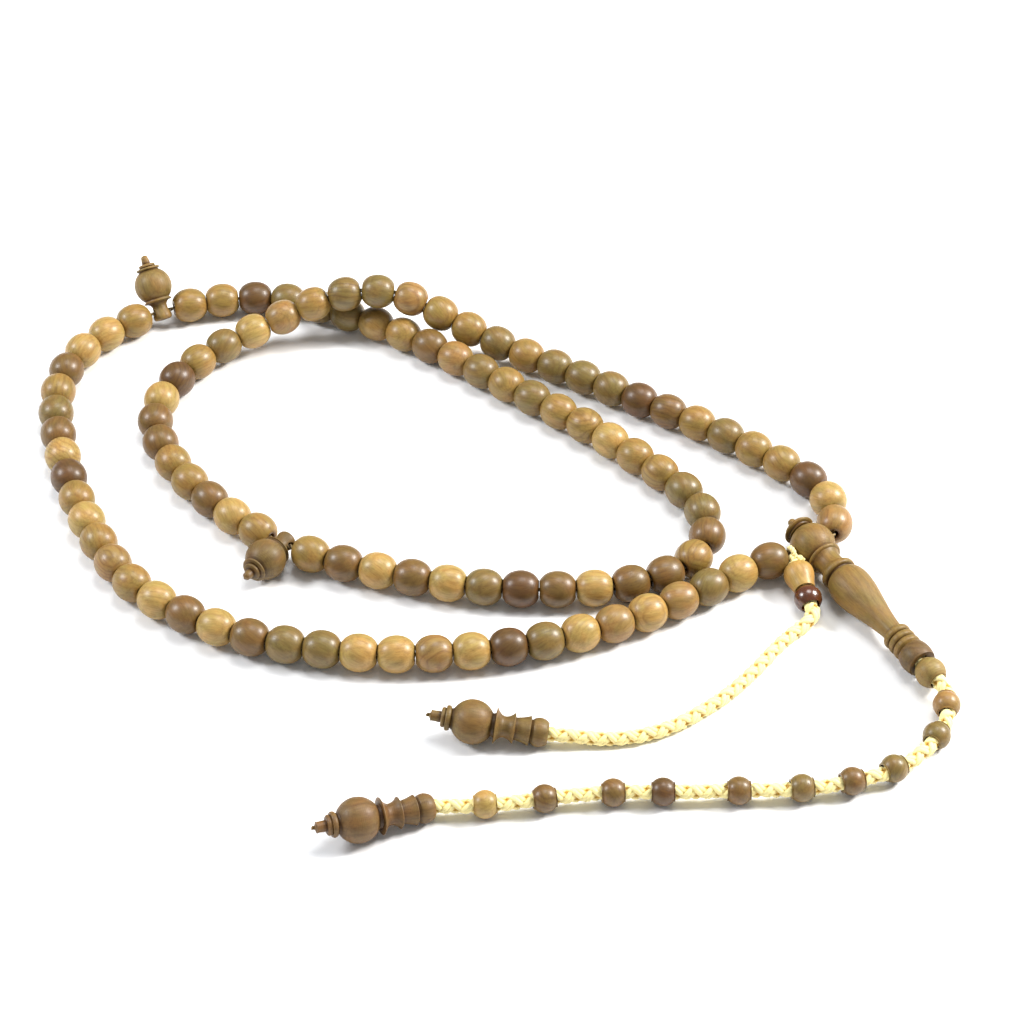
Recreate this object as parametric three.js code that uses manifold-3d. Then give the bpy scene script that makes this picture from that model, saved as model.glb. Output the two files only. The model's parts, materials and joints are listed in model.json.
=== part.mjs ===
// A 99-bead misbaha (string of prayer beads), laid down as a double loop on a table.
// Millimetres, +Z up. One closed loop of string carries three sections of 33 round beads, parted
// by two separator beads and closed by a long turned head bead. A knotted counter cord with ten
// small beads leaves the foot of the head bead, and a plain pendant cord hangs from the string
// beside it. Each cord ends in a turned finial.
import * as THREE from 'three';
import * as BufferGeometryUtils from 'three/addons/utils/BufferGeometryUtils.js';
import Module from 'manifold-3d';

const wasm = await Module();
wasm.setup();

// ---- driving dimensions ------------------------------------------------------------------

const BEAD_RADIUS = 4.0;
const BEAD_LENGTH = 7.2; // between the flats around the two bore mouths
const BEAD_END_RADIUS = 1.55;
const BEADS_PER_SECTION = 33;
const BEADS_PER_GROUP = 3; // beads joined in one solid
const BEAD_GAPS = [0.35, 0.37, 0.28]; // the strand lies looser in the first two sections
const STRING_RADIUS = 0.5;
const BORE_CLEARANCE = 0.5; // between the string and every bore it runs through
const SMALL_GAP = 0.3; // between pieces that touch

const HEAD_BARREL_RADIUS = 4.8;
const HEAD_CAP_RADIUS = 3.5;
const HEAD_BALUSTER_RADIUS = 4.5;
const HEAD_BALUSTER_LENGTH = 19.3;
const HEAD_NECK_RADIUS = 2.2;
const HEAD_RING_RADIUS = 3.05;
const HEAD_RING_LENGTH = 1.75;
const FOOT_DISC_RADIUS = 3.45;
const FOOT_DISC_LENGTH = 4.0;
const STOP_BEAD_RADIUS = 3.15;
const STOP_BEAD_LENGTH = 5.2;

const SEPARATOR_BALL_RADIUS = 4.35;
const SEPARATOR_FLANGE_RADIUS = 3.3;
const SEPARATOR_FOOT_RADIUS = 2.2;
const SEPARATOR_FOOT_LENGTH = 4.6; // from the foot's end to the flange

const CORD_RADIUS = 1.4;
const CORD_BORE_CLEARANCE = 0.4;
const COUNTER_BEAD_RADIUS = 2.8;
const COUNTER_BEAD_LENGTH = 4.6;
const LOOP_CORD_RADIUS = 0.6;
const LOOP_SLACK = 0.45; // in the pendant's loop, all round the string
const LOOP_HANG_GAP = 0.25; // between the string and the side of the loop that hangs on it
const SLIDER_RADIUS = 3.2;
const SLIDER_LENGTH = 6.4;
const DARK_BEAD_RADIUS = 2.95;
const DARK_BEAD_LENGTH = 4.2;
const FINIAL_BALL_RADIUS = 4.5;
const FINIAL_END_BALL_RADIUS = 2.95;
const FINIAL_LENGTH = 24.4;

// ---- routes ------------------------------------------------------------------------------

// Plan of the string from the head bead round to the head bead again: x, y and how far the
// beads ride up on the beads they cross (0 on the table, 1 a whole bead higher). It is drawn
// for beads of 8 mm at 7.5 mm and a head barrel of 9.6 mm, and grows with them.
const ROUTE_BEAD_RADIUS = 4.0;
const ROUTE_BEAD_STEP = 7.5;
const ROUTE_BARREL_RADIUS = 4.8;
const ROUTE_LENGTH = 790; // once round, as drawn
const STRING_ROUTE = [
  // first section, down and round the outside
  [70.5, -33.2, 0], [64, -37.3, 0], [51.5, -45.5, 0], [38, -52.5, 0], [24, -57.5, 0], [9, -60.5, 0],
  [-7, -61.5, 0], [-22, -60, 0], [-37, -56.5, 0], [-51, -49.5, 0], [-63.5, -39.5, 0],
  [-72, -25.5, 0], [-78.5, -10.5, 0], [-83, 4, 0], [-86, 19, 0], [-85, 33, 0], [-78, 45, 0],
  [-66, 53.5, 0],
  // second section, across and back
  [-53, 58, 0], [-38, 59, 0], [-27, 55, 0], [-14.5, 49, 0], [-2, 40.5, 0], [10, 31, 0],
  [22, 21, 0], [34, 11, 0], [45, 0, 0], [54.5, -10.5, 0], [58.5, -18, 0], [59, -26, 0],
  [55, -33.5, 0], [46, -39, 0], [36, -41.5, 0], [20, -42, 0], [5, -40.5, 0], [-10.5, -36.5, 0],
  [-24, -32, 0],
  // third section, up the inside, over the second one and back to the head bead
  [-38, -23.5, 0], [-49, -13, 0], [-58.5, 0, 0], [-63.5, 14.5, 0], [-59.5, 28.5, 0],
  [-51, 39.5, 0], [-38, 46.5, 0.35], [-23, 50, 0.95], [-13, 50.5, 1.05], [-5, 49, 0.8],
  [6.5, 44, 0.3], [20, 37, 0], [33, 29, 0], [46, 20.5, 0], [58.5, 12.5, 0], [71, 3, 0],
  [82, -7, 0], [86.3, -14.3, 0], [85.8, -22, 0],
];
const HEAD_PLACE = [80.6, -29.2];
const HEAD_HEADING = THREE.MathUtils.degToRad(-61); // of the head bead's axis, tip to foot

// Free cords, as x, y steps from where they start and z above the table.
const COUNTER_CORD_ROUTE = [
  [1.6, -3, 3.2], [1.3, -6.5, 2.9], [0.2, -10.3, 2.9], [-1.8, -14.5, 2.9], [-6, -19.3, 2.9],
  [-11, -23.2, 2.9], [-19.5, -26.3, 2.9], [-29.4, -28.3, 2.9], [-41.7, -28.8, 2.9],
  [-56.4, -29.2, 2.9], [-66, -29.2, 2.9], [-79.4, -30.8, 2.9], [-90.4, -32.6, 2.9],
  [-101.2, -32.9, 2.9],
];
const PENDANT_CORD_ROUTE = [
  [1.5, -14.5, 1.9], [-2, -17.5, 1.5], [-5.8, -22, 1.5], [-8.7, -26.1, 1.5], [-12, -30.3, 1.5],
  [-15.8, -34.5, 1.5], [-20, -38.3, 1.5], [-24.4, -41.7, 1.5], [-28.7, -44.4, 1.5],
  [-33.2, -46.2, 1.5], [-38, -47.2, 1.5], [-42.5, -47.5, 1.7], [-47.5, -47.4, 2.3],
  [-52.6, -47.2, 2.9],
];
// How each finial lies on the table, turned from straight along -x towards -y.
const COUNTER_FINIAL_HEADING = THREE.MathUtils.degToRad(19.7);
const PENDANT_FINIAL_HEADING = THREE.MathUtils.degToRad(-6);
// Where the small beads sit along the counter cord, and how far each slides either way.
const COUNTER_BEADS = [
  { at: 6.2, slide: 1.2 }, { at: 15.4, slide: 1.2 }, { at: 28.6, slide: 1.5 },
  { at: 37.8, slide: 1.5 }, { at: 47.9, slide: 2.0 }, { at: 60.2, slide: 2.5 },
  { at: 74.9, slide: 2.0 }, { at: 84.6, slide: 1.8 }, { at: 98.0, slide: 2.5 },
  { at: 109.6, slide: 2.5 },
];
const PENDANT_START_HEIGHT = 4.4;
const PENDANT_HEADING = [0.224, -0.963, -0.146];
const PENDANT_SLIDE = 1.5; // of the slider and the dark bead, away from the loop

// ---- materials ---------------------------------------------------------------------------

function material(color, roughness) {
  return new THREE.MeshStandardMaterial({ color, roughness, metalness: 0 });
}

const woodLight = material(0xcda569, 0.42);
const woodMedium = material(0xb08c58, 0.45);
const woodMatte = material(0x96784b, 0.62);
const woodDark = material(0x502d14, 0.25);
const cordCream = material(0xf4e3a6, 0.7);

// ---- helpers -----------------------------------------------------------------------------

const AXIS_Z = new THREE.Vector3(0, 0, 1);

const model = new THREE.Group();

function addMesh(parent, name, geometry, surface) {
  const mesh = new THREE.Mesh(geometry, surface);
  mesh.name = name;
  parent.add(mesh);
  return mesh;
}

/** A solid turned about the y axis from [y, radius] pairs. */
function turned(outline, segments) {
  const points = outline.map(([y, radius]) => new THREE.Vector2(radius, y));
  return new THREE.LatheGeometry(points, segments);
}

/** The outline of a row of round beads, open through the bore, closed on itself. */
function beadRowOutline(count, radius, length, endRadius, boreRadius, step) {
  const outline = [];
  const shoulder = 0.45 * length / 2;
  for (let i = 0; i < count; i += 1) {
    const y = i * step;
    outline.push([y - length / 2, endRadius], [y - shoulder, radius]);
    outline.push([y + shoulder, radius], [y + length / 2, endRadius]);
  }
  for (let i = count - 1; i >= 0; i -= 1) {
    const y = i * step;
    outline.push([y + length / 2, boreRadius], [y - length / 2, boreRadius]);
  }
  outline.push(outline[0]);
  return outline;
}

/** A frame whose y axis runs along the given direction and whose z axis stays upright. */
function frameAlong(origin, direction) {
  const y = direction.clone().normalize();
  const x = new THREE.Vector3().crossVectors(y, AXIS_Z).normalize();
  const z = new THREE.Vector3().crossVectors(x, y);
  return new THREE.Matrix4().makeBasis(x, y, z).setPosition(origin);
}

function place(object, matrix) {
  matrix.decompose(object.position, object.quaternion, object.scale);
  return object;
}

/** A cord that runs straight from node to node. */
class NodePath extends THREE.Curve {
  constructor(nodes) {
    super();
    this.nodes = nodes;
  }

  getPointAt(u) {
    return this.nodes[Math.round(u * (this.nodes.length - 1))].clone();
  }

  getTangentAt(u) {
    const last = this.nodes.length - 1;
    const i = Math.round(u * last);
    const before = this.nodes[Math.max(i - 1, 0)];
    const after = this.nodes[Math.min(i + 1, last)];
    return after.clone().sub(before).normalize();
  }
}

function cordGeometry(nodes, radius, sides) {
  const section = new THREE.Shape();
  for (let i = 0; i < sides; i += 1) {
    const angle = 2 * Math.PI * (i + 0.5) / sides;
    const x = radius * Math.cos(angle);
    const y = radius * Math.sin(angle);
    if (i === 0) section.moveTo(x, y);
    else section.lineTo(x, y);
  }
  section.closePath();
  const extrudePath = new NodePath(nodes);
  return new THREE.ExtrudeGeometry(section, { steps: nodes.length - 1, extrudePath });
}

function manifoldOf(geometry) {
  const bare = geometry.clone();
  bare.deleteAttribute('normal');
  bare.deleteAttribute('uv');
  const merged = BufferGeometryUtils.mergeVertices(bare, 1e-4);
  return new wasm.Manifold(new wasm.Mesh({
    numProp: 3,
    vertProperties: new Float32Array(merged.attributes.position.array),
    triVerts: new Uint32Array(merged.index.array),
  }));
}

function cut(body, ...tools) {
  let solid = manifoldOf(body);
  for (const tool of tools) solid = solid.subtract(manifoldOf(tool));
  const mesh = solid.getMesh();
  const geometry = new THREE.BufferGeometry();
  const positions = new THREE.BufferAttribute(new Float32Array(mesh.vertProperties), 3);
  geometry.setAttribute('position', positions);
  geometry.setIndex(new THREE.BufferAttribute(new Uint32Array(mesh.triVerts), 1));
  return geometry;
}

/** A drill for a bore along the x axis at height y on a piece turned about y. */
function crossDrill(y, radius, length) {
  const drill = new THREE.CylinderGeometry(radius, radius, length, 8);
  drill.rotateZ(Math.PI / 2);
  drill.translate(0, y, 0);
  return drill;
}

// ---- the string's route ------------------------------------------------------------------

const beadStep = BEAD_LENGTH + SMALL_GAP;
const routeScale = Math.max(BEAD_RADIUS / ROUTE_BEAD_RADIUS, beadStep / ROUTE_BEAD_STEP);
const looseness = routeScale * ROUTE_BEAD_STEP - beadStep; // beads short for the route lie apart
const stringBoreRadius = STRING_RADIUS + BORE_CLEARANCE;
const loopWidth = 2 * LOOP_CORD_RADIUS + 2 * SMALL_GAP;
const headReach = HEAD_BARREL_RADIUS + loopWidth; // from the head bead's middle to the first bead

// A thicker head barrel takes up more string on both of its sides, so the whole loop grows by that.
const barrelGrowth = 2 * (HEAD_BARREL_RADIUS - ROUTE_BARREL_RADIUS);
const placeScale = routeScale * (1 + barrelGrowth / ROUTE_LENGTH);

const headCentre = new THREE.Vector3(HEAD_PLACE[0], HEAD_PLACE[1], 0).multiplyScalar(placeScale);
headCentre.z = HEAD_BARREL_RADIUS;
// Level, across the head bead, towards its first-section side.
const acrossHead = new THREE.Vector3(Math.sin(HEAD_HEADING), -Math.cos(HEAD_HEADING), 0);

const routePoints = STRING_ROUTE.map(([x, y, lift]) => new THREE.Vector3(
  x * placeScale,
  y * placeScale,
  BEAD_RADIUS + lift * (2 * BEAD_RADIUS + SMALL_GAP),
));
const leavingHead = headCentre.clone().addScaledVector(acrossHead, HEAD_BARREL_RADIUS + SMALL_GAP);
const reachingHead = headCentre.clone().addScaledVector(acrossHead, -HEAD_BARREL_RADIUS - SMALL_GAP);
const route = new THREE.CatmullRomCurve3(
  [headCentre, leavingHead, ...routePoints, reachingHead, headCentre],
  false,
  'centripetal',
);
route.arcLengthDivisions = 3000;
const routeLength = route.getLength();

/** A place along the string; the beads that aren't lifted rest on the table. */
function routeAt(distance) {
  const point = route.getPointAt(THREE.MathUtils.clamp(distance / routeLength, 0, 1));
  point.z = Math.max(point.z, BEAD_RADIUS);
  return point;
}

function routeTurn(distance) {
  const before = routeAt(distance).sub(routeAt(distance - beadStep));
  const after = routeAt(distance + beadStep).sub(routeAt(distance));
  return before.angleTo(after);
}

/** Room beside a bead's flat end so that the flats of two beads on a bend stay clear. */
function endRoom(distance, gap) {
  return gap / 2 + BEAD_END_RADIUS * Math.tan(routeTurn(distance) / 2);
}

/** The distances along the route where one section's beads begin and end. */
function sectionEnds(start, gap, limit) {
  const ends = [start];
  while (ends.length <= BEADS_PER_SECTION) {
    const last = ends[ends.length - 1];
    const near = last + endRoom(last, gap) + BEAD_LENGTH;
    const next = near + endRoom(near, gap);
    if (next > limit) break;
    ends.push(next);
  }
  return ends;
}

// ---- separator beads ---------------------------------------------------------------------

const separatorHole = 1.9; // from the foot's end to the hole for the string
const separatorBall = SEPARATOR_FOOT_LENGTH + 0.84 * SEPARATOR_BALL_RADIUS;
const separatorTop = separatorBall + 0.86 * SEPARATOR_BALL_RADIUS;

function separatorGeometry() {
  const foot = SEPARATOR_FOOT_RADIUS;
  const flange = SEPARATOR_FLANGE_RADIUS;
  const ball = SEPARATOR_BALL_RADIUS;
  const outline = [
    [0, 0], [0, 0.62 * foot], [0.5, 0.93 * foot], [1.3, foot], [2.6, 0.86 * foot],
    [0.74 * SEPARATOR_FOOT_LENGTH, 0.8 * foot],
    [SEPARATOR_FOOT_LENGTH - 0.35, 0.93 * flange], [SEPARATOR_FOOT_LENGTH, flange],
  ];
  for (const angle of [-50, -20, 15, 45]) {
    const a = THREE.MathUtils.degToRad(angle);
    outline.push([separatorBall + ball * Math.sin(a), ball * Math.cos(a)]);
  }
  outline.push(
    [separatorTop, 0.5 * ball], [separatorTop + 0.15, 2.75], [separatorTop + 0.65, 2.7],
    [separatorTop + 0.85, 1.9], [separatorTop + 1.5, 1.8], [separatorTop + 1.7, 1],
    [separatorTop + 3.2, 0.9], [separatorTop + 3.6, 0.45], [separatorTop + 3.6, 0],
  );
  const body = turned(outline, 12);
  body.translate(0, -separatorHole, 0); // the hole's middle is the origin
  return cut(body, crossDrill(0, stringBoreRadius, 4 * foot));
}

/** Half the string that a separator takes between two beads: its flange and ball swing clear. */
function separatorReach() {
  const clear = BEAD_RADIUS + SMALL_GAP;
  const flangeHeight = SEPARATOR_FOOT_LENGTH - separatorHole;
  const ballHeight = separatorBall - separatorHole;
  const flangeOut = SEPARATOR_FLANGE_RADIUS + Math.sqrt(Math.max(clear ** 2 - flangeHeight ** 2, 0));
  const ballSpan = clear + SEPARATOR_BALL_RADIUS;
  const ballOut = Math.sqrt(Math.max(ballSpan ** 2 - ballHeight ** 2, 0));
  const beadOut = Math.max(flangeOut, ballOut) - BEAD_LENGTH / 2;
  return Math.max(beadOut, SEPARATOR_FOOT_RADIUS + SMALL_GAP);
}

// ---- stringing ---------------------------------------------------------------------------

const sections = [];
const stringLimit = routeLength - HEAD_BARREL_RADIUS - SMALL_GAP;
let stringDistance = headReach;
for (const gap of BEAD_GAPS) {
  const ends = sectionEnds(stringDistance, gap + looseness, stringLimit);
  sections.push(ends);
  stringDistance = ends[ends.length - 1] + 2 * separatorReach();
}

function beadGroupGeometry(chords) {
  const outline = beadRowOutline(
    chords.length, BEAD_RADIUS, BEAD_LENGTH, BEAD_END_RADIUS, stringBoreRadius, beadStep,
  );
  const geometry = turned(outline, 8);
  const position = geometry.attributes.position;
  const point = new THREE.Vector3();
  for (let i = 0; i < position.count; i += 1) {
    point.fromBufferAttribute(position, i);
    const index = Math.round(point.y / beadStep);
    const [from, to] = chords[index];
    const middle = from.clone().lerp(to, 0.5);
    point.y -= index * beadStep;
    point.applyMatrix4(frameAlong(middle, to.clone().sub(from)));
    position.setXYZ(i, point.x, point.y, point.z);
  }
  return geometry;
}

const stringNodes = [
  headCentre.clone().addScaledVector(acrossHead, SMALL_GAP / 2),
  leavingHead,
];
const separatorLying = Math.acos(
  (SEPARATOR_BALL_RADIUS - BEAD_RADIUS) / (separatorBall - separatorHole),
);
// From upright: the first stands up, leaning outwards, and the second lies outside the strand.
const separatorTurns = [THREE.MathUtils.degToRad(43), separatorLying];
sections.forEach((ends, section) => {
  const nodes = ends.map(routeAt);
  stringNodes.push(...nodes);
  for (let first = 0; first + 1 < nodes.length; first += BEADS_PER_GROUP) {
    const chords = [];
    for (let i = first; i < Math.min(first + BEADS_PER_GROUP, nodes.length - 1); i += 1) {
      chords.push([nodes[i], nodes[i + 1]]);
    }
    const number = String(first / BEADS_PER_GROUP + 1).padStart(2, '0');
    addMesh(model, `section_${section + 1}_beads_${number}`, beadGroupGeometry(chords), woodMedium);
  }
  if (section < sections.length - 1) {
    const from = nodes[nodes.length - 1];
    const to = routeAt(sections[section + 1][0]);
    const along = to.clone().sub(from);
    const frame = frameAlong(from.clone().lerp(to, 0.5), along);
    const upright = new THREE.Matrix4().makeRotationZ(-Math.PI / 2);
    const stand = new THREE.Matrix4().makeRotationX(Math.PI / 2);
    const lean = new THREE.Matrix4().makeRotationX(separatorTurns[section]);
    frame.multiply(upright.clone()).multiply(lean).multiply(stand);
    const mesh = addMesh(model, `separator_${section + 1}`, separatorGeometry(), woodMatte);
    place(mesh, frame);
  }
});
stringNodes.push(
  reachingHead,
  headCentre.clone().addScaledVector(acrossHead, -SMALL_GAP / 2),
);
addMesh(model, 'main_string', cordGeometry(stringNodes, STRING_RADIUS, 6), cordCream);

// ---- head bead ---------------------------------------------------------------------------

const cordBoreRadius = CORD_RADIUS + CORD_BORE_CLEARANCE;
const headCap = -1.1 * HEAD_BARREL_RADIUS;
const headLip = 0.94 * HEAD_BARREL_RADIUS;
const headBaluster = headLip + 6.6;
const headNeck = headBaluster + HEAD_BALUSTER_LENGTH;
const headFoot = headNeck + 3 * HEAD_RING_LENGTH;
const headSocketDepth = 4;

function headOutline() {
  const barrel = HEAD_BARREL_RADIUS;
  const cap = HEAD_CAP_RADIUS;
  const baluster = HEAD_BALUSTER_RADIUS;
  const neck = HEAD_NECK_RADIUS;
  const ring = HEAD_RING_RADIUS;
  const outline = [
    [headCap - 3.5, 0], [headCap - 3.4, 0.6], [headCap - 2.7, 0.85], [headCap - 2.1, 0.5],
    [headCap - 1.5, 0.5 * cap], [headCap - 0.6, 0.93 * cap], [headCap, cap],
    [headCap + 0.5, 0.8 * cap],
  ];
  for (const angle of [-45, -20, 0, 20, 44]) {
    const a = THREE.MathUtils.degToRad(angle);
    outline.push([barrel * Math.sin(a), barrel * Math.cos(a)]);
  }
  outline.push(
    [headLip - 0.4, 3.7], [headLip, 3.85], [headLip + 0.4, 3.5], [headLip + 2, 3.0],
    [headLip + 4, 3.1], [headLip + 4.9, 3.8], [headLip + 5.7, 3.85], [headBaluster - 0.4, 3.3],
    [headBaluster, 3.6], [headBaluster + 0.1 * HEAD_BALUSTER_LENGTH, 0.97 * baluster],
    [headBaluster + 0.2 * HEAD_BALUSTER_LENGTH, baluster],
    [headBaluster + 0.42 * HEAD_BALUSTER_LENGTH, 0.86 * baluster],
    [headBaluster + 0.7 * HEAD_BALUSTER_LENGTH, 0.61 * baluster],
    [headNeck - 0.4, neck],
  );
  for (let i = 0; i < 3; i += 1) {
    const start = headNeck + i * HEAD_RING_LENGTH;
    outline.push([start, 0.88 * ring], [start + 0.35, ring]);
    outline.push([start + HEAD_RING_LENGTH - 0.5, ring]);
  }
  outline.push(
    [headFoot, 0.9 * ring], [headFoot, cordBoreRadius],
    [headFoot - headSocketDepth, cordBoreRadius], [headFoot - headSocketDepth, 0],
  );
  return outline;
}

const restTilt = Math.asin(
  (HEAD_BARREL_RADIUS - HEAD_BALUSTER_RADIUS) / (headBaluster + 0.2 * HEAD_BALUSTER_LENGTH),
);
const headAxis = new THREE.Vector3(
  Math.cos(HEAD_HEADING) * Math.cos(restTilt),
  Math.sin(HEAD_HEADING) * Math.cos(restTilt),
  -Math.sin(restTilt),
);
const head = place(new THREE.Group(), frameAlong(headCentre, headAxis));
model.add(head);

const headBore = crossDrill(0, stringBoreRadius, 4 * HEAD_BARREL_RADIUS);
addMesh(head, 'head_bead', cut(turned(headOutline(), 16), headBore), woodMatte);

function boredBead(radius, length, endRadius, boreRadius, segments) {
  return turned(beadRowOutline(1, radius, length, endRadius, boreRadius, 0), segments);
}

const footDiscAt = headFoot + SMALL_GAP + FOOT_DISC_LENGTH / 2;
const stopBeadAt = footDiscAt + SMALL_GAP + (FOOT_DISC_LENGTH + STOP_BEAD_LENGTH) / 2;
const headMouth = stopBeadAt + STOP_BEAD_LENGTH / 2;
const cordEndRadius = cordBoreRadius + 0.3;
addMesh(
  head,
  'foot_disc',
  boredBead(FOOT_DISC_RADIUS, FOOT_DISC_LENGTH, 0.75 * FOOT_DISC_RADIUS, cordBoreRadius, 12),
  woodMatte,
).position.y = footDiscAt;
addMesh(
  head,
  'stop_bead',
  boredBead(STOP_BEAD_RADIUS, STOP_BEAD_LENGTH, cordEndRadius, cordBoreRadius, 12),
  woodMedium,
).position.y = stopBeadAt;
const coreNodes = [headFoot - headSocketDepth + SMALL_GAP, headMouth - 0.5].map(
  (y) => new THREE.Vector3(0, y, 0),
);
addMesh(head, 'counter_cord_core', cordGeometry(coreNodes, CORD_RADIUS, 8), cordCream);

// ---- finials -----------------------------------------------------------------------------

const finialSocketDepth = 4;

/** A turned finial on the end of a cord; its mouth is the origin and it points along +y. */
function finialGeometry() {
  const end = FINIAL_END_BALL_RADIUS;
  const ball = FINIAL_BALL_RADIUS;
  const ballAt = FINIAL_LENGTH - 5.2 - 0.9 * ball;
  const ballStart = ballAt - 0.9 * ball;
  const flange = ballStart - 0.5;
  const outline = [
    [finialSocketDepth, 0], [finialSocketDepth, cordBoreRadius], [0, cordBoreRadius],
    [0, cordEndRadius], [0.9, 0.93 * end], [1.9, end], [3.0, 0.9 * end], [3.5, 0.78 * end],
    [3.9, 1.0 * end], [4.3, 0.97 * end], [0.62 * flange, 0.76 * end],
    [0.7 * flange, 1.04 * end], [0.76 * flange, 0.72 * end], [0.86 * flange, 0.7 * end],
    [flange - 0.3, 1.2 * end], [flange + 0.1, 1.24 * end],
  ];
  for (const angle of [-55, -28, 0, 28, 55]) {
    const a = THREE.MathUtils.degToRad(angle);
    outline.push([ballAt + ball * Math.sin(a), ball * Math.cos(a)]);
  }
  const top = FINIAL_LENGTH - 4.9;
  outline.push(
    [top, 2.1], [top + 0.3, 2.5], [top + 1.1, 2.45], [top + 1.2, 1.95], [top + 2.0, 1.85],
    [top + 2.1, 1.2], [top + 4.0, 1.1], [top + 4.2, 0.5], [FINIAL_LENGTH, 0.4],
    [FINIAL_LENGTH, 0],
  );
  return turned(outline, 12);
}

// ---- counter cord ------------------------------------------------------------------------

/** A smooth curve through a cord's points, and places along it measured from its start. */
class CordRoute {
  constructor(points) {
    this.curve = new THREE.CatmullRomCurve3(points, false, 'centripetal');
    this.curve.arcLengthDivisions = 1000;
    this.length = this.curve.getLength();
  }

  at(distance) {
    return this.curve.getPointAt(THREE.MathUtils.clamp(distance / this.length, 0, 1));
  }
}

function finialOn(parent, name, nodes, surface) {
  const [before, end] = nodes.slice(-2);
  const along = end.clone().sub(before).normalize();
  const mouth = end.clone().addScaledVector(along, SMALL_GAP - finialSocketDepth);
  return place(addMesh(parent, name, finialGeometry(), surface), frameAlong(mouth, along));
}

/** The last stretch of a cord lies along its finial, whose two balls rest on the table. */
function endOfCord(point, heading) {
  const ballAt = FINIAL_LENGTH - 5.2 - 0.9 * FINIAL_BALL_RADIUS;
  const rise = (FINIAL_BALL_RADIUS - FINIAL_END_BALL_RADIUS) / (ballAt - 1.9);
  const tilt = Math.asin(THREE.MathUtils.clamp(rise, -0.5, 0.5));
  const along = new THREE.Vector3(-Math.cos(heading), -Math.sin(heading), 0)
    .multiplyScalar(Math.cos(tilt)).addScaledVector(AXIS_Z, Math.sin(tilt));
  const mouth = point.clone();
  mouth.z = FINIAL_END_BALL_RADIUS - 1.9 * Math.tan(tilt);
  return [mouth, mouth.clone().addScaledVector(along, finialSocketDepth - SMALL_GAP)];
}

const headMatrix = new THREE.Matrix4().compose(head.position, head.quaternion, head.scale);
const mouthPoint = new THREE.Vector3(0, headMouth + SMALL_GAP, 0).applyMatrix4(headMatrix);
const counterPoints = COUNTER_CORD_ROUTE.map(([x, y, z]) => new THREE.Vector3(
  mouthPoint.x + x, mouthPoint.y + y, z,
));
const counterRoute = new CordRoute([mouthPoint, ...counterPoints]);
const counterNodes = [mouthPoint];
COUNTER_BEADS.forEach(({ at, slide }, index) => {
  const reach = COUNTER_BEAD_LENGTH / 2 + slide + 0.1;
  const from = counterRoute.at(at - reach);
  const to = counterRoute.at(at + reach);
  counterNodes.push(from, to);
  const geometry = boredBead(
    COUNTER_BEAD_RADIUS, COUNTER_BEAD_LENGTH, cordEndRadius, cordBoreRadius, 8,
  );
  const bead = addMesh(
    model, `counter_bead_${String(index + 1).padStart(2, '0')}`, geometry, woodMedium,
  );
  place(bead, frameAlong(from.clone().lerp(to, 0.5), to.clone().sub(from)));
});
counterNodes.push(...endOfCord(counterRoute.at(counterRoute.length), COUNTER_FINIAL_HEADING));
addMesh(model, 'counter_cord', cordGeometry(counterNodes, CORD_RADIUS, 8), cordCream);
finialOn(model, 'counter_finial', counterNodes, woodMatte);

// ---- pendant -----------------------------------------------------------------------------

const stringDrop = Math.abs(HEAD_BARREL_RADIUS - BEAD_RADIUS); // across the loop
const loopHole = STRING_RADIUS + LOOP_SLACK + stringDrop / 2;
const loopCentreline = loopHole + LOOP_CORD_RADIUS;
const loopReach = loopHole - STRING_RADIUS - LOOP_HANG_GAP; // from the string to its middle

function loopGeometry() {
  const outer = loopCentreline + LOOP_CORD_RADIUS;
  const inner = loopCentreline - LOOP_CORD_RADIUS;
  const link = new THREE.Shape();
  link.absellipse(0, 0, outer, 0.9 * outer, 0, 2 * Math.PI, false, 0);
  const hole = new THREE.Path();
  hole.absellipse(0, 0, inner, 0.85 * inner, 0, 2 * Math.PI, true, 0);
  link.holes.push(hole);
  const depth = 2 * LOOP_CORD_RADIUS;
  const geometry = new THREE.ExtrudeGeometry(link, { depth, bevelEnabled: false, curveSegments: 4 });
  geometry.translate(0, 0, -depth / 2);
  return geometry;
}

const level = new THREE.Vector3(Math.cos(HEAD_HEADING), Math.sin(HEAD_HEADING), 0);
// The loop hangs on the stretch of string between the head bead and the first bead.
const [, hangFrom, hangTo] = stringNodes;
const hangShare = (loopWidth / 2 - SMALL_GAP) / (loopWidth - SMALL_GAP);
const hangPoint = hangFrom.clone().lerp(hangTo, hangShare);
const loopMiddle = hangPoint.clone().addScaledVector(level, loopReach);
const loopFrame = new THREE.Matrix4().makeBasis(level, AXIS_Z, level.clone().cross(AXIS_Z));
loopFrame.setPosition(loopMiddle);
place(addMesh(model, 'pendant_loop', loopGeometry(), cordCream), loopFrame);

const pendantHeading = new THREE.Vector3(...PENDANT_HEADING).normalize();
const pendantStart = loopMiddle.clone().addScaledVector(
  pendantHeading, loopCentreline + LOOP_CORD_RADIUS + 2 * SMALL_GAP,
);
pendantStart.z = PENDANT_START_HEIGHT;
const pendantPoints = PENDANT_CORD_ROUTE.map(([x, y, z]) => new THREE.Vector3(
  pendantStart.x + x, pendantStart.y + y, z,
));
const straightLength = SLIDER_LENGTH + DARK_BEAD_LENGTH + 2 * SMALL_GAP + PENDANT_SLIDE;
const pendantBend = pendantStart.clone().addScaledVector(pendantHeading, straightLength);
const pendantRoute = new CordRoute([pendantBend, ...pendantPoints]);
const pendantSteps = 12;
const pendantNodes = [pendantStart, pendantBend];
for (let i = 1; i < pendantSteps; i += 1) {
  pendantNodes.push(pendantRoute.at(i * pendantRoute.length / pendantSteps));
}
pendantNodes.push(...endOfCord(pendantRoute.at(pendantRoute.length), PENDANT_FINIAL_HEADING));
addMesh(model, 'pendant_cord', cordGeometry(pendantNodes, CORD_RADIUS, 8), cordCream);
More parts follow.
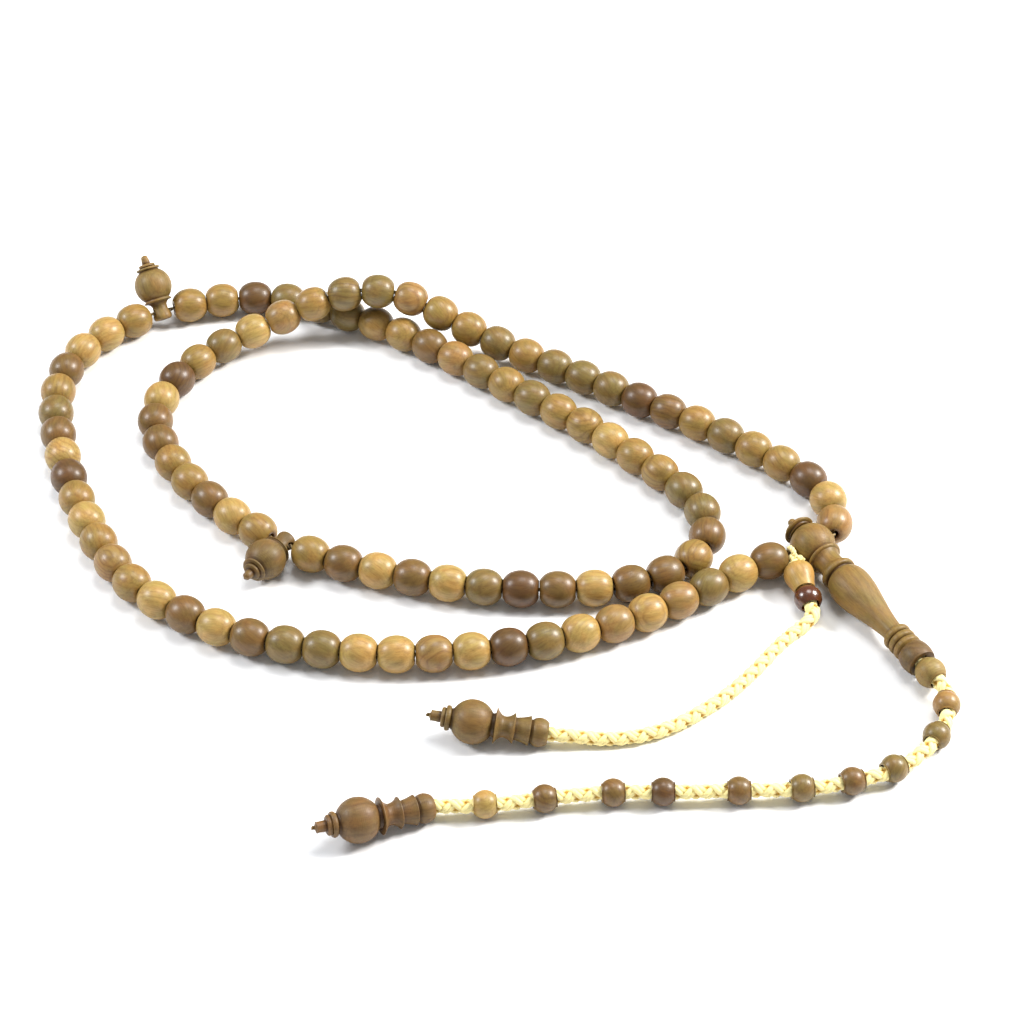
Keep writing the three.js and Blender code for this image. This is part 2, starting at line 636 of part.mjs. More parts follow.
finialOn(model, 'pendant_finial', pendantNodes, woodMatte);

/** The tulip-shaped slider: widest near its top, its foot cupped over the dark bead. */
function sliderGeometry() {
  const outline = [
    [0, cordBoreRadius], [0, 0.62 * SLIDER_RADIUS], [0.12 * SLIDER_LENGTH, 0.9 * SLIDER_RADIUS],
    [0.3 * SLIDER_LENGTH, SLIDER_RADIUS], [0.6 * SLIDER_LENGTH, 0.9 * SLIDER_RADIUS],
    [SLIDER_LENGTH, 0.72 * SLIDER_RADIUS], [SLIDER_LENGTH, cordBoreRadius], [0, cordBoreRadius],
  ];
  return turned(outline, 12);
}

const pendantFrame = frameAlong(pendantStart, pendantHeading);
const threaded = place(new THREE.Group(), pendantFrame);
model.add(threaded);
addMesh(threaded, 'slider_bead', sliderGeometry(), woodLight);
addMesh(
  threaded,
  'dark_bead',
  boredBead(DARK_BEAD_RADIUS, DARK_BEAD_LENGTH, cordEndRadius, cordBoreRadius, 12),
  woodDark,
).position.y = SLIDER_LENGTH + SMALL_GAP + DARK_BEAD_LENGTH / 2;

// ---- origin ------------------------------------------------------------------------------

// The origin is under the middle of everything that the loop of string carries, on the table.
const FREE_PIECES = /^(counter_|pendant_|slider_bead|dark_bead)/;
model.updateMatrixWorld(true);
const strand = new THREE.Box3();
model.traverse((object) => {
  if (object.isMesh && !FREE_PIECES.test(object.name)) strand.expandByObject(object, true);
});
const middle = strand.getCenter(new THREE.Vector3());
model.position.set(-middle.x, -middle.y, -strand.min.z);

export default model;
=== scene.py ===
"""A misbaha of 99 wooden beads, laid in a double loop, with its turned pieces and its two cords.

Sizes are in millimetres until a mesh is made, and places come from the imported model.
"""

import json
import math

import bmesh
import bpy
import numpy as np
from mathutils import Euler, Matrix, Vector, noise


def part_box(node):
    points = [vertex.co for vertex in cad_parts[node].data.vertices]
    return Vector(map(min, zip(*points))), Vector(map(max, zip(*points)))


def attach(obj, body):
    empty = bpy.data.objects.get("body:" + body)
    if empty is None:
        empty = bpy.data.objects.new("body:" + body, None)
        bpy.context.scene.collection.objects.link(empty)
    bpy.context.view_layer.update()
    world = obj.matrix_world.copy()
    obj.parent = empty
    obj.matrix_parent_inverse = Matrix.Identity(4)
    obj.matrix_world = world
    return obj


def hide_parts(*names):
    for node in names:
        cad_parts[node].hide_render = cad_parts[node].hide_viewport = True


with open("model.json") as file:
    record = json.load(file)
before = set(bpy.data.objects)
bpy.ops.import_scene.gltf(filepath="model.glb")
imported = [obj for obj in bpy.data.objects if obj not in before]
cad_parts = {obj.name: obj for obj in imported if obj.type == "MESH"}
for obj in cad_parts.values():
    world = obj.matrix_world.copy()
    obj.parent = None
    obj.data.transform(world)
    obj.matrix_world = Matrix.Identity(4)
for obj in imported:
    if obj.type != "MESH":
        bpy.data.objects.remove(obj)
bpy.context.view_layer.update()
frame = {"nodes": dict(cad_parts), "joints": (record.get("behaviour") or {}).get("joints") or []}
joints = {joint["name"]: joint for joint in frame["joints"]}

MM = 0.001

# ---- sizes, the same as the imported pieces' -----------------------------------------------------

BEAD_RADIUS = 4.0
BEAD_LENGTH = 7.42  # before it is fitted between its neighbours
BEAD_FULLNESS = 1.3  # above 1, a bead's sides are straighter than a ball's
BEAD_UNEVENNESS = 0.022  # how much thinner than the rest a bead may be
BEAD_END_RADIUS = 1.5  # where two beads of a bend come closest
CREASE = 0.03  # between two beads
LONGEST_FIT = 1.04  # of the bead's length, where there is room to spare
BEADS_PER_SECTION = 33
STRING_RADIUS = 0.5
STRING_BORE = 1.0
CORD_RADIUS = 1.4
CORD_BORE = 1.8
BARREL_RADIUS = 4.8
BALUSTER_LENGTH = 19.3
HEAD_RING_LENGTH = 1.75
FOOT_DISC_RADIUS, FOOT_DISC_LENGTH = 3.45, 4.0
STOP_BEAD_RADIUS, STOP_BEAD_LENGTH = 3.15, 5.2
COUNTER_BEAD_RADIUS, COUNTER_BEAD_LENGTH = 2.8, 4.6
SLIDER_RADIUS, SLIDER_LENGTH = 3.2, 6.4
DARK_BEAD_RADIUS, DARK_BEAD_LENGTH = 2.95, 4.2
SEPARATOR_BALL, SEPARATOR_FLANGE, SEPARATOR_FOOT = 4.35, 3.3, 2.2
SEPARATOR_HOLE = 1.9  # from the foot's end to the hole for the string
SEPARATOR_FOOT_LENGTH = 4.6  # to the flange
FINIAL_BALL, FINIAL_END_BALL, FINIAL_LENGTH = 4.5, 2.95, 24.4
SOCKET_DEPTH = 4.0
SMALL_GAP = 0.3

# ---- the two free cords, in metres from where each one starts ----------------------------------

COUNTER_ROUTE = [
    (0.0016, -0.003, 0.0032), (0.0013, -0.0065, 0.0029), (0.0002, -0.0103, 0.0029),
    (-0.0018, -0.0145, 0.0029), (-0.006, -0.0193, 0.0029), (-0.011, -0.0232, 0.0029),
    (-0.0195, -0.0263, 0.0029), (-0.0294, -0.0283, 0.0029), (-0.0417, -0.0288, 0.0029),
    (-0.0564, -0.0292, 0.0029), (-0.066, -0.0292, 0.0029), (-0.0794, -0.0308, 0.0029),
    (-0.0904, -0.0326, 0.0029),
]
PENDANT_ROUTE = [
    (0.0015, -0.0145, 0.0019), (-0.002, -0.0175, 0.0015), (-0.0058, -0.022, 0.0015),
    (-0.0087, -0.0261, 0.0015), (-0.012, -0.0303, 0.0015), (-0.0158, -0.0345, 0.0015),
    (-0.02, -0.0383, 0.0015), (-0.0244, -0.0417, 0.0015), (-0.0287, -0.0444, 0.0015),
    (-0.0332, -0.0462, 0.0015), (-0.038, -0.0472, 0.0015), (-0.0425, -0.0475, 0.0017),
    (-0.0475, -0.0474, 0.0023),
]

# ---- how the wood of each main bead looks, from the head bead round ----------------------------

# l light tan, g golden, o olive, b brown, r reddish brown, p pinkish; a capital is boldly figured
SECTION_TONES = [
    "blopLplorlPllooblblgPglgrLbogbllg",
    "ggroooggbpogogGlgGoobGbblbrolblbg",
    "glbggbblRgolpgOoPggogooorBgoggrlp",
]
COUNTER_TONES = "poobobrbBl"


def paint(red, green, blue):
    """A colour given as display values from 0 to 255."""
    linear = [((v / 255 + 0.055) / 1.055) ** 2.4 for v in (red, green, blue)]
    return (*linear, 1.0)


TONES = {
    "l": paint(166, 137, 76),
    "g": paint(142, 114, 57),
    "o": paint(118, 98, 50),
    "b": paint(112, 85, 41),
    "r": paint(92, 65, 30),
    "p": paint(144, 113, 62),
}

# ---- nodes -------------------------------------------------------------------------------------


class Socket:
    """A node's output. Arithmetic on it adds Math nodes to its tree."""

    def __init__(self, nodes, output):
        self.nodes = nodes
        self.output = output

    def maths(self, operation, *values):
        return self.nodes.add("ShaderNodeMath", {"operation": operation}, dict(enumerate(values)))

    def __add__(self, other):
        return self.maths("ADD", self, other)

    def __radd__(self, other):
        return self.maths("ADD", other, self)

    def __sub__(self, other):
        return self.maths("SUBTRACT", self, other)

    def __rsub__(self, other):
        return self.maths("SUBTRACT", other, self)

    def __mul__(self, other):
        return self.maths("MULTIPLY", self, other)

    def __rmul__(self, other):
        return self.maths("MULTIPLY", other, self)

    def __pow__(self, other):
        return self.maths("POWER", self, other)

    def sine(self):
        return self.maths("SINE", self)

    def between(self, low, high):
        """0 below low, 1 above high, and smooth in between."""
        inputs = {0: self, 1: low, 2: high, 3: 0.0, 4: 1.0}
        return self.nodes.add("ShaderNodeMapRange", {"interpolation_type": "SMOOTHSTEP"}, inputs)


class Nodes:
    """Adds nodes to one tree."""

    def __init__(self, tree):
        self.tree = tree

    def add(self, kind, settings=None, inputs=None, output=0):
        node = self.tree.nodes.new(kind)
        for name, value in (settings or {}).items():
            setattr(node, name, value)
        for key, value in (inputs or {}).items():
            self.feed(node.inputs[key], value)
        return Socket(self, node.outputs[output]) if node.outputs else node

    def feed(self, socket, value):
        if isinstance(value, Socket):
            self.tree.links.new(value.output, socket)
        else:
            socket.default_value = value

    def attribute(self, name, output):
        return self.add("ShaderNodeAttribute", {"attribute_name": name}, output=output)

    def mix(self, share, first, second, blend="MIX"):
        settings = {"data_type": "RGBA", "blend_type": blend}
        return self.add("ShaderNodeMix", settings, {0: share, 6: first, 7: second}, output=2)

    def vector(self, operation, *values, output=0):
        inputs = dict(enumerate(values))
        return self.add("ShaderNodeVectorMath", {"operation": operation}, inputs, output)

    def noise(self, place, stretch, detail=3.0, roughness=0.55):
        """Noise that is finer along the axes where stretch is larger, in cycles per millimetre."""
        inputs = {
            "Vector": self.vector("MULTIPLY", place, stretch),
            "Scale": 1.0,
            "Detail": detail,
            "Roughness": roughness,
        }
        return self.add("ShaderNodeTexNoise", {}, inputs, "Fac")


def new_surface(name, fixed):
    """A material with an empty tree but for its shader, whose even sockets are set here."""
    material = bpy.data.materials.new(name)
    material.use_nodes = True
    shader = material.node_tree.nodes["Principled BSDF"]
    for socket, value in fixed.items():
        shader.inputs[socket].default_value = value
    return material, Nodes(material.node_tree), shader


# ---- materials ---------------------------------------------------------------------------------


def turned_wood(name, gloss, coat, figure, ring_spacing, mark_depth):
    """Close-grained wood. Figure is how strongly the grain shows, mark_depth the tool marks'."""
    material, nodes, shader = new_surface(name, {"Coat Roughness": 0.24, "Specular IOR Level": 0.38})
    grain = nodes.attribute("grain", "Vector")
    tone = nodes.attribute("tone", "Color")
    bold = nodes.attribute("bold", "Fac")
    turning = nodes.attribute("turning", "Fac")
    hollow = nodes.attribute("hollow", "Fac")

    wander = nodes.noise(grain, (0.16, 0.16, 0.05), 2.0)
    across = nodes.vector("MULTIPLY", grain, (1.0, 1.0, 0.04))
    heart = nodes.vector("LENGTH", across, output="Value")
    phase = (heart + wander * 4.5) * (2 * math.pi / ring_spacing)
    late_wood = (phase.sine() * 0.5 + 0.5) ** 3.0
    fibres = nodes.noise(grain, (2.6, 2.6, 0.28), 4.0, 0.7)
    bands = nodes.noise(grain, (0.9, 0.9, 0.1), 3.0, 0.6)
    pores = nodes.noise(grain, (7.0, 7.0, 0.9), 2.0).between(0.60, 0.74)
    flecks = nodes.noise(grain, (4.2, 4.2, 2.6), 2.0).between(0.45, 0.75)
    patches = nodes.noise(grain, (0.34, 0.34, 0.2), 2.0)
    speckle = nodes.noise(grain, (1.3, 1.3, 1.0), 3.0)

    colour = nodes.mix(patches.between(0.42, 0.72) * 0.5, tone, (1.16, 0.93, 0.78, 1), "MULTIPLY")
    colour = nodes.mix(patches.between(0.56, 0.30) * 0.55, colour, (0.84, 0.95, 0.80, 1), "MULTIPLY")
    colour = nodes.mix(speckle.between(0.35, 0.7) * 0.35, colour, (1.14, 1.12, 1.08, 1), "MULTIPLY")
    strength = figure + bold * 0.26
    colour = nodes.mix(late_wood * strength, colour, (0.52, 0.42, 0.34, 1), "MULTIPLY")
    colour = nodes.mix(bands.between(0.46, 0.66) * 0.40, colour, (0.72, 0.64, 0.55, 1), "MULTIPLY")
    colour = nodes.mix(fibres.between(0.40, 0.66) * 0.62, colour, (0.70, 0.62, 0.54, 1), "MULTIPLY")
    colour = nodes.mix(pores * 0.55, colour, (0.46, 0.38, 0.32, 1), "MULTIPLY")
    colour = nodes.mix(flecks * 0.30, colour, (1.32, 1.28, 1.18, 1), "MULTIPLY")
    # Painted shade darkens the wood in its grooves and hollows, and painted light brightens its proud
    # rims.
    colour = nodes.mix(hollow.between(0.05, 0.8) * 0.85, colour, (0.40, 0.30, 0.24, 1), "MULTIPLY")
    colour = nodes.mix(hollow.between(-0.1, -0.8) * 0.5, colour, (1.18, 1.15, 1.1, 1), "MULTIPLY")

    marks = (turning * 17.0 + wander * 3.0).sine() * mark_depth
    relief = fibres * 0.5 - pores * 0.8 + marks
    inputs = {"Strength": 0.35, "Distance": 0.00006, "Height": relief}
    nodes.feed(shader.inputs["Base Color"], colour)
    nodes.feed(shader.inputs["Roughness"], gloss + fibres * 0.14 + pores * 0.12)
    nodes.feed(shader.inputs["Coat Weight"], coat - pores * coat)
    nodes.feed(shader.inputs["Normal"], nodes.add("ShaderNodeBump", {}, inputs))
    return material


def plaited_yarn(name, outer, inner):
    """Soft cream yarn: painted shade between the strands, with fine fibres laid along each one."""
    material, nodes, shader = new_surface(name, {"Sheen Weight": 0.25, "Specular IOR Level": 0.35})
    proud = nodes.attribute("proud", "Fac")
    fibre_place = nodes.attribute("fibre", "Vector")
    fibres = nodes.noise(fibre_place, (1.0, 1.0, 1.0), 3.0, 0.6)
    lumps = nodes.noise(fibre_place, (0.16, 0.16, 0.22), 2.0)
    # Painted shade: inner is the colour deep between the strands, outer where the yarn stands proud.
    colour = nodes.mix(proud.between(0.25, 0.85), inner, outer)
    colour = nodes.mix(fibres.between(0.35, 0.68) * 0.35, colour, (0.86, 0.76, 0.55, 1), "MULTIPLY")
    colour = nodes.mix(lumps.between(0.5, 0.72) * 0.4, colour, (1.0, 0.92, 0.74, 1), "MULTIPLY")
    inputs = {"Strength": 0.7, "Distance": 0.00012, "Height": fibres + lumps * 0.6}
    nodes.feed(shader.inputs["Base Color"], colour)
    nodes.feed(shader.inputs["Roughness"], 0.48 + fibres * 0.3)
    nodes.feed(shader.inputs["Normal"], nodes.add("ShaderNodeBump", {}, inputs))
    return material


polished = turned_wood("polished bead wood", 0.36, 0.22, 0.24, 1.0, 0.10)
unpolished = turned_wood("unpolished turned wood", 0.46, 0.05, 0.26, 1.6, 0.30)
pale = turned_wood("pale slider wood", 0.42, 0.12, 0.42, 3.4, 0.16)
lacquered = turned_wood("dark lacquered wood", 0.14, 0.85, 0.30, 1.2, 0.05)
# Each yarn's second colour is its painted shade between the strands.
cream_yarn = plaited_yarn("cream yarn", paint(244, 230, 162), paint(204, 162, 66))
string_yarn = plaited_yarn("string yarn", paint(150, 128, 84), paint(92, 68, 38))

# ---- meshes ------------------------------------------------------------------------------------


def new_piece(name, mesh, material):
    piece = bpy.data.objects.new(name, mesh)
    bpy.context.scene.collection.objects.link(piece)
    if not mesh.materials:
        mesh.materials.append(material)
    return piece


def set_attribute(mesh, name, kind, values):
    attribute = mesh.attributes.get(name) or mesh.attributes.new(name, kind, "POINT")
    field = {"FLOAT": "value", "FLOAT_VECTOR": "vector", "FLOAT_COLOR": "color"}[kind]
    attribute.data.foreach_set(field, np.asarray(values, np.float32).ravel())


def vertex_places(mesh):
    places = np.zeros(len(mesh.vertices) * 3)
    mesh.vertices.foreach_get("co", places)
    return places.reshape(-1, 3)


def arc(centre, radius, start, end, steps):
    """Points of an outline along a round stretch, centred on the axis, angles in degrees."""
    angles = np.radians(np.linspace(start, end, steps))
    return [(centre + radius * math.sin(a), radius * math.cos(a)) for a in angles]


def through(points, step):
    """Even points along the centripetal curve through the given ones."""
    given = np.array(points, float)
    given = np.vstack([2 * given[0] - given[1], given, 2 * given[-1] - given[-2]])
    fine = []
    for x0, x1, x2, x3 in zip(given, given[1:], given[2:], given[3:]):
        d0, d1, d2 = (math.sqrt(np.linalg.norm(b - a)) for a, b in ((x0, x1), (x1, x2), (x2, x3)))
        leave = ((x1 - x0) / d0 - (x2 - x0) / (d0 + d1) + (x2 - x1) / d1) * d1
        reach = ((x2 - x1) / d1 - (x3 - x1) / (d1 + d2) + (x3 - x2) / d2) * d1
        bend = -3 * x1 + 3 * x2 - 2 * leave - reach
        twist = 2 * x1 - 2 * x2 + leave + reach
        for t in np.linspace(0, 1, 40, endpoint=False):
            fine.append(x1 + leave * t + bend * t * t + twist * t**3)
    fine.append(given[-2])
    return evenly(np.array(fine), step)


def evenly(line, step):
    along = np.concatenate([[0], np.cumsum(np.linalg.norm(np.diff(line, axis=0), axis=1))])
    at = np.linspace(0, along[-1], max(2, round(along[-1] / step) + 1))
    return np.stack([np.interp(at, along, line[:, k]) for k in range(line.shape[1])], axis=1)


def flowing(points, step=0.25):
    """A smooth stretch of an outline through a few of its points."""
    return [tuple(point) for point in through(points, step)]


def lathe(outline, segments, closed):
    """A mesh turned about z from (z, radius) pairs, from pole to pole or closed on itself."""
    shape = bmesh.new()
    rings = []
    for z, radius in outline:
        if radius < 1e-6:
            rings.append([shape.verts.new((0, 0, z * MM))])
            continue
        angles = [2 * math.pi * k / segments for k in range(segments)]
        ring = [(radius * math.cos(a) * MM, radius * math.sin(a) * MM, z * MM) for a in angles]
        rings.append([shape.verts.new(place) for place in ring])
    pairs = list(zip(rings, rings[1:]))
    if closed:
        pairs.append((rings[-1], rings[0]))
    for low, high in pairs:
        for k in range(segments):
            n = (k + 1) % segments
            corners = [low[k % len(low)], low[n % len(low)], high[n % len(high)], high[k % len(high)]]
            shape.faces.new(list(dict.fromkeys(corners)))
    bmesh.ops.remove_doubles(shape, verts=shape.verts, dist=1e-7)
    bmesh.ops.recalc_face_normals(shape, faces=shape.faces)
    mesh = bpy.data.meshes.new("turned")
    shape.to_mesh(mesh)
    shape.free()
    return mesh


def soften(mesh, sharp_angle=38):
    mesh.polygons.foreach_set("use_smooth", [True] * len(mesh.polygons))
    mesh.set_sharp_from_angle(angle=math.radians(sharp_angle))


def cross_bored(mesh, radius, reach):
    """The mesh with a hole along x through its origin."""
    drill = bmesh.new()
    turn = Matrix.Rotation(math.pi / 2, 4, "Y")
    bmesh.ops.create_cone(drill, cap_ends=True, segments=32, radius1=radius * MM, radius2=radius * MM,
                          depth=2 * reach * MM, matrix=turn)
    drill_mesh = bpy.data.meshes.new("drill")
    drill.to_mesh(drill_mesh)
    drill.free()
    body, tool = (bpy.data.objects.new(n, m) for n, m in (("bored", mesh), ("drill", drill_mesh)))
    for piece in (body, tool):
        bpy.context.scene.collection.objects.link(piece)
    cut = body.modifiers.new("bore", "BOOLEAN")
    cut.operation, cut.solver, cut.object = "DIFFERENCE", "EXACT", tool
    bored = bpy.data.meshes.new_from_object(
        body.evaluated_get(bpy.context.evaluated_depsgraph_get())
    )
    for piece in (body, tool):
        bpy.data.objects.remove(piece)
    return bored


def hollows(local):
    """How far each point of a turned piece lies inside the outline round it, from -1 to 1."""
    # These values drive the painted shade in hollows and the painted light on proud rims.
    z, radius = local[:, 2], np.hypot(local[:, 0], local[:, 1])
    steps = np.arange(z.min() - 2.0, z.max() + 2.0, 0.2)
    outer = np.array([radius[np.abs(z - step) < 0.25].max(initial=0.0) for step in steps])
    weights = np.exp(-((np.arange(-7, 8) * 0.2 / 0.75) ** 2))
    smooth = np.convolve(outer, weights / weights.sum(), "same")
    hollow = np.clip((np.interp(z, steps, smooth) - radius) / 0.7, -1, 1)
    return hollow * np.clip((radius - 0.3) / 0.4, 0, 1)  # an end's middle is no hollow


# Where in the noise each axis of a push is read, because noise_vector differs from run to run.
ROUGH_SHIFTS = ((0.0, 0.0, 0.0), (17.3, 5.1, 9.7), (4.9, 23.1, 13.7))


def roughen(mesh, start, amount, size):
    """Pushes the wood beyond z = start about, as where a piece was broken off the lathe."""
    for vertex in mesh.vertices:
        share = min(max((vertex.co.z / MM - start) / 0.8, 0.0), 1.0)
        place = vertex.co / (size * MM)
        push = Vector([noise.noise(place + Vector(shift)) for shift in ROUGH_SHIFTS])
        vertex.co += push * (amount * share * MM)


def place_wood(mesh, place, tone, bold=0.0, grain_turn=(0.0, 0.0, 0.0), grain_shift=(9.0, 4.0, 0.0)):
    """Puts a turned mesh in its place and lays the wood's grain through it, along its own z."""
    local = vertex_places(mesh) / MM
    turn = np.array(Euler(grain_turn).to_matrix())
    count = len(mesh.vertices)
    set_attribute(mesh, "grain", "FLOAT_VECTOR", local @ turn.T + np.array(grain_shift))
    set_attribute(mesh, "turning", "FLOAT", local[:, 2])
    set_attribute(mesh, "hollow", "FLOAT", hollows(local))
    set_attribute(mesh, "tone", "FLOAT_COLOR", [tone] * count)
    set_attribute(mesh, "bold", "FLOAT", [bold] * count)
    mesh.transform(place)
    return mesh


def upright(origin, axis, across=None):
    """A place whose z runs along the axis, and whose x runs across it where that is given."""
    z = Vector(axis).normalized()
    x = Vector(across if across is not None else (z.y, -z.x, 0.001)).normalized()
    x = (x - z * x.dot(z)).normalized()
    y = z.cross(x)
    turn = Matrix((x, y, z)).transposed().to_4x4()
    return Matrix.Translation(Vector(origin)) @ turn


def finished(piece, body, slot, *nodes):
    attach(piece, body)
    if nodes:
        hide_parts(*nodes)
    return piece


# ---- outlines ----------------------------------------------------------------------------------


def bored_bead(radius, length, bore, shoulder=0.25, steps=26, fullness=1.0):
    """A round bead with flats around its bore; fullness above 1 makes its sides straighter."""
    reach = math.degrees(math.asin(min(length / 2 / radius, 0.985)))
    side = []
    for angle in np.radians(np.linspace(-reach, reach, steps)):
        z = radius * math.sin(angle)
        side.append((z, radius * abs(math.cos(angle)) ** (1 / fullness)))
    mouth = side[-1][1]
    rim = max(bore + shoulder, min(mouth, bore + 2 * shoulder))
    top = [(length / 2 - 0.02, rim), (length / 2 - 0.10, bore + 0.12), (length / 2 - 0.35, bore)]
    inner = [(length / 4, bore), (-length / 4, bore)]
    bottom = [(-z, r) for z, r in reversed(top)]
    return side + top + inner + bottom


def head_outline():
    """The head bead from its tip to the socket in its foot, the string's bore at z = 0."""
    cap = -1.1 * BARREL_RADIUS
    lip = 0.94 * BARREL_RADIUS
    baluster = lip + 6.6
    neck = baluster + BALUSTER_LENGTH
    foot = neck + 3 * HEAD_RING_LENGTH
    tip = [(cap - 3.5, 0), (cap - 3.46, 0.4), (cap - 3.24, 0.72), (cap - 2.8, 0.9),
           (cap - 2.3, 0.84), (cap - 1.8, 0.7)]
    mushroom = [(cap - 1.6, 0.8), (cap - 1.5, 1.2), (cap - 1.3, 1.9), (cap - 1.0, 2.6),
                (cap - 0.72, 3.02), (cap - 0.6, 3.06)]
    rim = [(cap - 0.52, 2.98), (cap - 0.42, 3.1), (cap - 0.3, 3.36), (cap - 0.08, 3.5),
           (cap + 0.14, 3.44), (cap + 0.28, 3.16)]
    collar = [(cap + 0.32, 2.72), (cap + 0.6, 2.6), (cap + 0.95, 2.86)]
    start = math.degrees(math.asin((cap + 0.95) / BARREL_RADIUS))
    barrel = arc(0, BARREL_RADIUS, start, 50, 26)
    shoulder = [(lip - 0.52, 3.16), (lip - 0.46, 3.5), (lip - 0.3, 3.78), (lip, 3.86),
                (lip + 0.24, 3.72), (lip + 0.36, 3.42)]
    waist = [(lip + 0.4, 3.28), (lip + 1.1, 2.92), (lip + 2.2, 2.78), (lip + 3.4, 2.9),
             (lip + 4.3, 3.3), (lip + 4.62, 3.62)]
    ring = [(lip + 4.66, 3.7), (lip + 4.9, 3.86), (lip + 5.3, 3.9), (lip + 5.7, 3.84), (lip + 5.9, 3.6)]
    groove = [(baluster - 0.66, 3.05), (baluster - 0.36, 2.98), (baluster - 0.16, 3.12)]
    teardrop = [(baluster - 0.1, 3.34), (baluster + 0.3, 3.72), (baluster + 1.6, 4.28),
                (baluster + 3.6, 4.5), (baluster + 6.4, 4.26), (baluster + 10.4, 3.46),
                (baluster + 14.4, 2.66), (baluster + 17.4, 2.26), (neck - 0.32, 2.16)]
    rings = []
    for k in range(3):
        low = neck + k * HEAD_RING_LENGTH
        rings += [(low - 0.2, 2.36), (low - 0.04, 2.62)] + flowing(
            [(low + 0.02, 2.8), (low + 0.3, 3.02), (low + 0.78, 3.08), (low + 1.2, 3.0),
             (low + HEAD_RING_LENGTH - 0.32, 2.74)], 0.2)
    end = [(foot - 0.12, 2.5), (foot - 0.03, 2.3), (foot, 2.1), (foot - 0.05, CORD_BORE + 0.1),
           (foot - 0.2, CORD_BORE), (foot - 2.2, CORD_BORE), (foot - SOCKET_DEPTH, CORD_BORE),
           (foot - SOCKET_DEPTH, 0)]
    return (flowing(tip) + flowing(mushroom) + flowing(rim, 0.15) + flowing(collar) + barrel
            + flowing(shoulder, 0.15) + flowing(waist) + flowing(ring, 0.15) + flowing(groove)
            + flowing(teardrop, 0.4) + rings + end)


def finial_outline(keen):
    """A cord's finial from its socket outwards, its three flanges with keen or blunter rims."""
    end = FINIAL_END_BALL
    ball_at = FINIAL_LENGTH - 5.2 - 0.9 * FINIAL_BALL
    flange = ball_at - 0.9 * FINIAL_BALL - 0.5
    socket = [(SOCKET_DEPTH, 0), (SOCKET_DEPTH, CORD_BORE), (2.0, CORD_BORE), (0.3, CORD_BORE),
              (0.06, CORD_BORE + 0.08)]
    end_ball = [(0, CORD_BORE + 0.3), (0.2, 2.36), (0.9, 2.76), (1.9, end), (2.8, 2.72),
                (3.24, 2.4), (3.36, 2.3), (3.5, 2.3)]
    rim = 0.05 if keen else 0.10
    first = [(3.56, 2.5), (3.62, 2.88), (3.7, 2.98), (3.7 + rim, 3.0)] + flowing(
        [(3.78 + rim, 2.94), (4.5, 2.72), (5.5, 2.44), (6.3, 2.28), (6.62, 2.26)]
    )
    second = [(6.7, 2.5), (6.76, 2.95), (6.86, 3.12), (6.86 + rim, 3.14)] + flowing(
        [(6.96 + rim, 3.04), (7.4, 2.66), (8.0, 2.3), (8.7, 2.12), (9.3, 2.24), (9.8, 2.62),
         (10.2, 3.1), (flange - 0.16, 3.52)]
    )
    third = [(flange - 0.08, 3.64), (flange - 0.08 + rim, 3.66), (flange + 0.08, 3.4),
             (flange + 0.12, 2.8)]
    groove = [(flange + 0.18, 2.46), (flange + 0.5, 2.36), (ball_at - 3.84, 2.34)]
    ball = arc(ball_at, FINIAL_BALL, -57, 61, 32)
    top = FINIAL_LENGTH - 4.9
    steps = [(top - 0.02, 1.98), (top + 0.02, 2.2)] + flowing(
        [(top + 0.06, 2.3), (top + 0.3, 2.5), (top + 0.75, 2.54), (top + 1.05, 2.36)], 0.15
    ) + flowing([(top + 1.1, 1.9), (top + 1.3, 2.02), (top + 1.7, 2.0), (top + 1.95, 1.74)], 0.15)
    stub = flowing([(top + 2.0, 1.1), (top + 2.4, 1.14), (top + 3.3, 1.08), (top + 3.95, 1.12)], 0.2)
    nub = [(top + 4.05, 0.8), (top + 4.3, 0.42), (FINIAL_LENGTH - 0.1, 0.3), (FINIAL_LENGTH, 0)]
    return (socket + flowing(end_ball) + first + second + third + groove + ball + steps + stub + nub)


def separator_outline():
    """A separator from the foot it is strung through to its stub, the string's hole at z = 0."""
    foot_length = SEPARATOR_FOOT_LENGTH
    ball_at = foot_length + 0.84 * SEPARATOR_BALL
    top = ball_at + 0.86 * SEPARATOR_BALL
    foot = [(0, 0), (0, 0.8), (0.02, 1.5), (0.12, 1.9), (0.36, 2.12), (0.8, SEPARATOR_FOOT), (1.3, 2.1),
            (2.2, 1.86), (2.9, 1.74), (3.5, 1.8), (4.0, 2.14), (foot_length - 0.34, 2.66)]
    flange = [(foot_length - 0.26, 3.02), (foot_length - 0.16, SEPARATOR_FLANGE),
              (foot_length + 0.04, SEPARATOR_FLANGE + 0.02), (foot_length + 0.14, 3.02)]
    ball = arc(ball_at, SEPARATOR_BALL, -48, 58, 28)
    cap = flowing([(top + 0.1, 2.4), (top + 0.16, 2.66), (top + 0.36, 2.78), (top + 0.58, 2.72),
                   (top + 0.7, 2.4)], 0.12)
    ring = flowing([(top + 0.76, 1.72), (top + 0.9, 1.9), (top + 1.2, 1.94), (top + 1.46, 1.8),
                    (top + 1.56, 1.5)], 0.12)
    stub = flowing([(top + 1.6, 0.9), (top + 1.8, 0.98), (top + 2.7, 0.9), (top + 3.2, 0.82)], 0.2)
    nub = [(top + 3.48, 0.6), (top + 3.6, 0.3), (top + 3.6, 0)]
    outline = flowing(foot[1:6], 0.2) + flowing(foot[5:], 0.3) + flange + ball + cap + ring + stub + nub
    return [(z - SEPARATOR_HOLE, radius) for z, radius in [foot[0]] + outline]


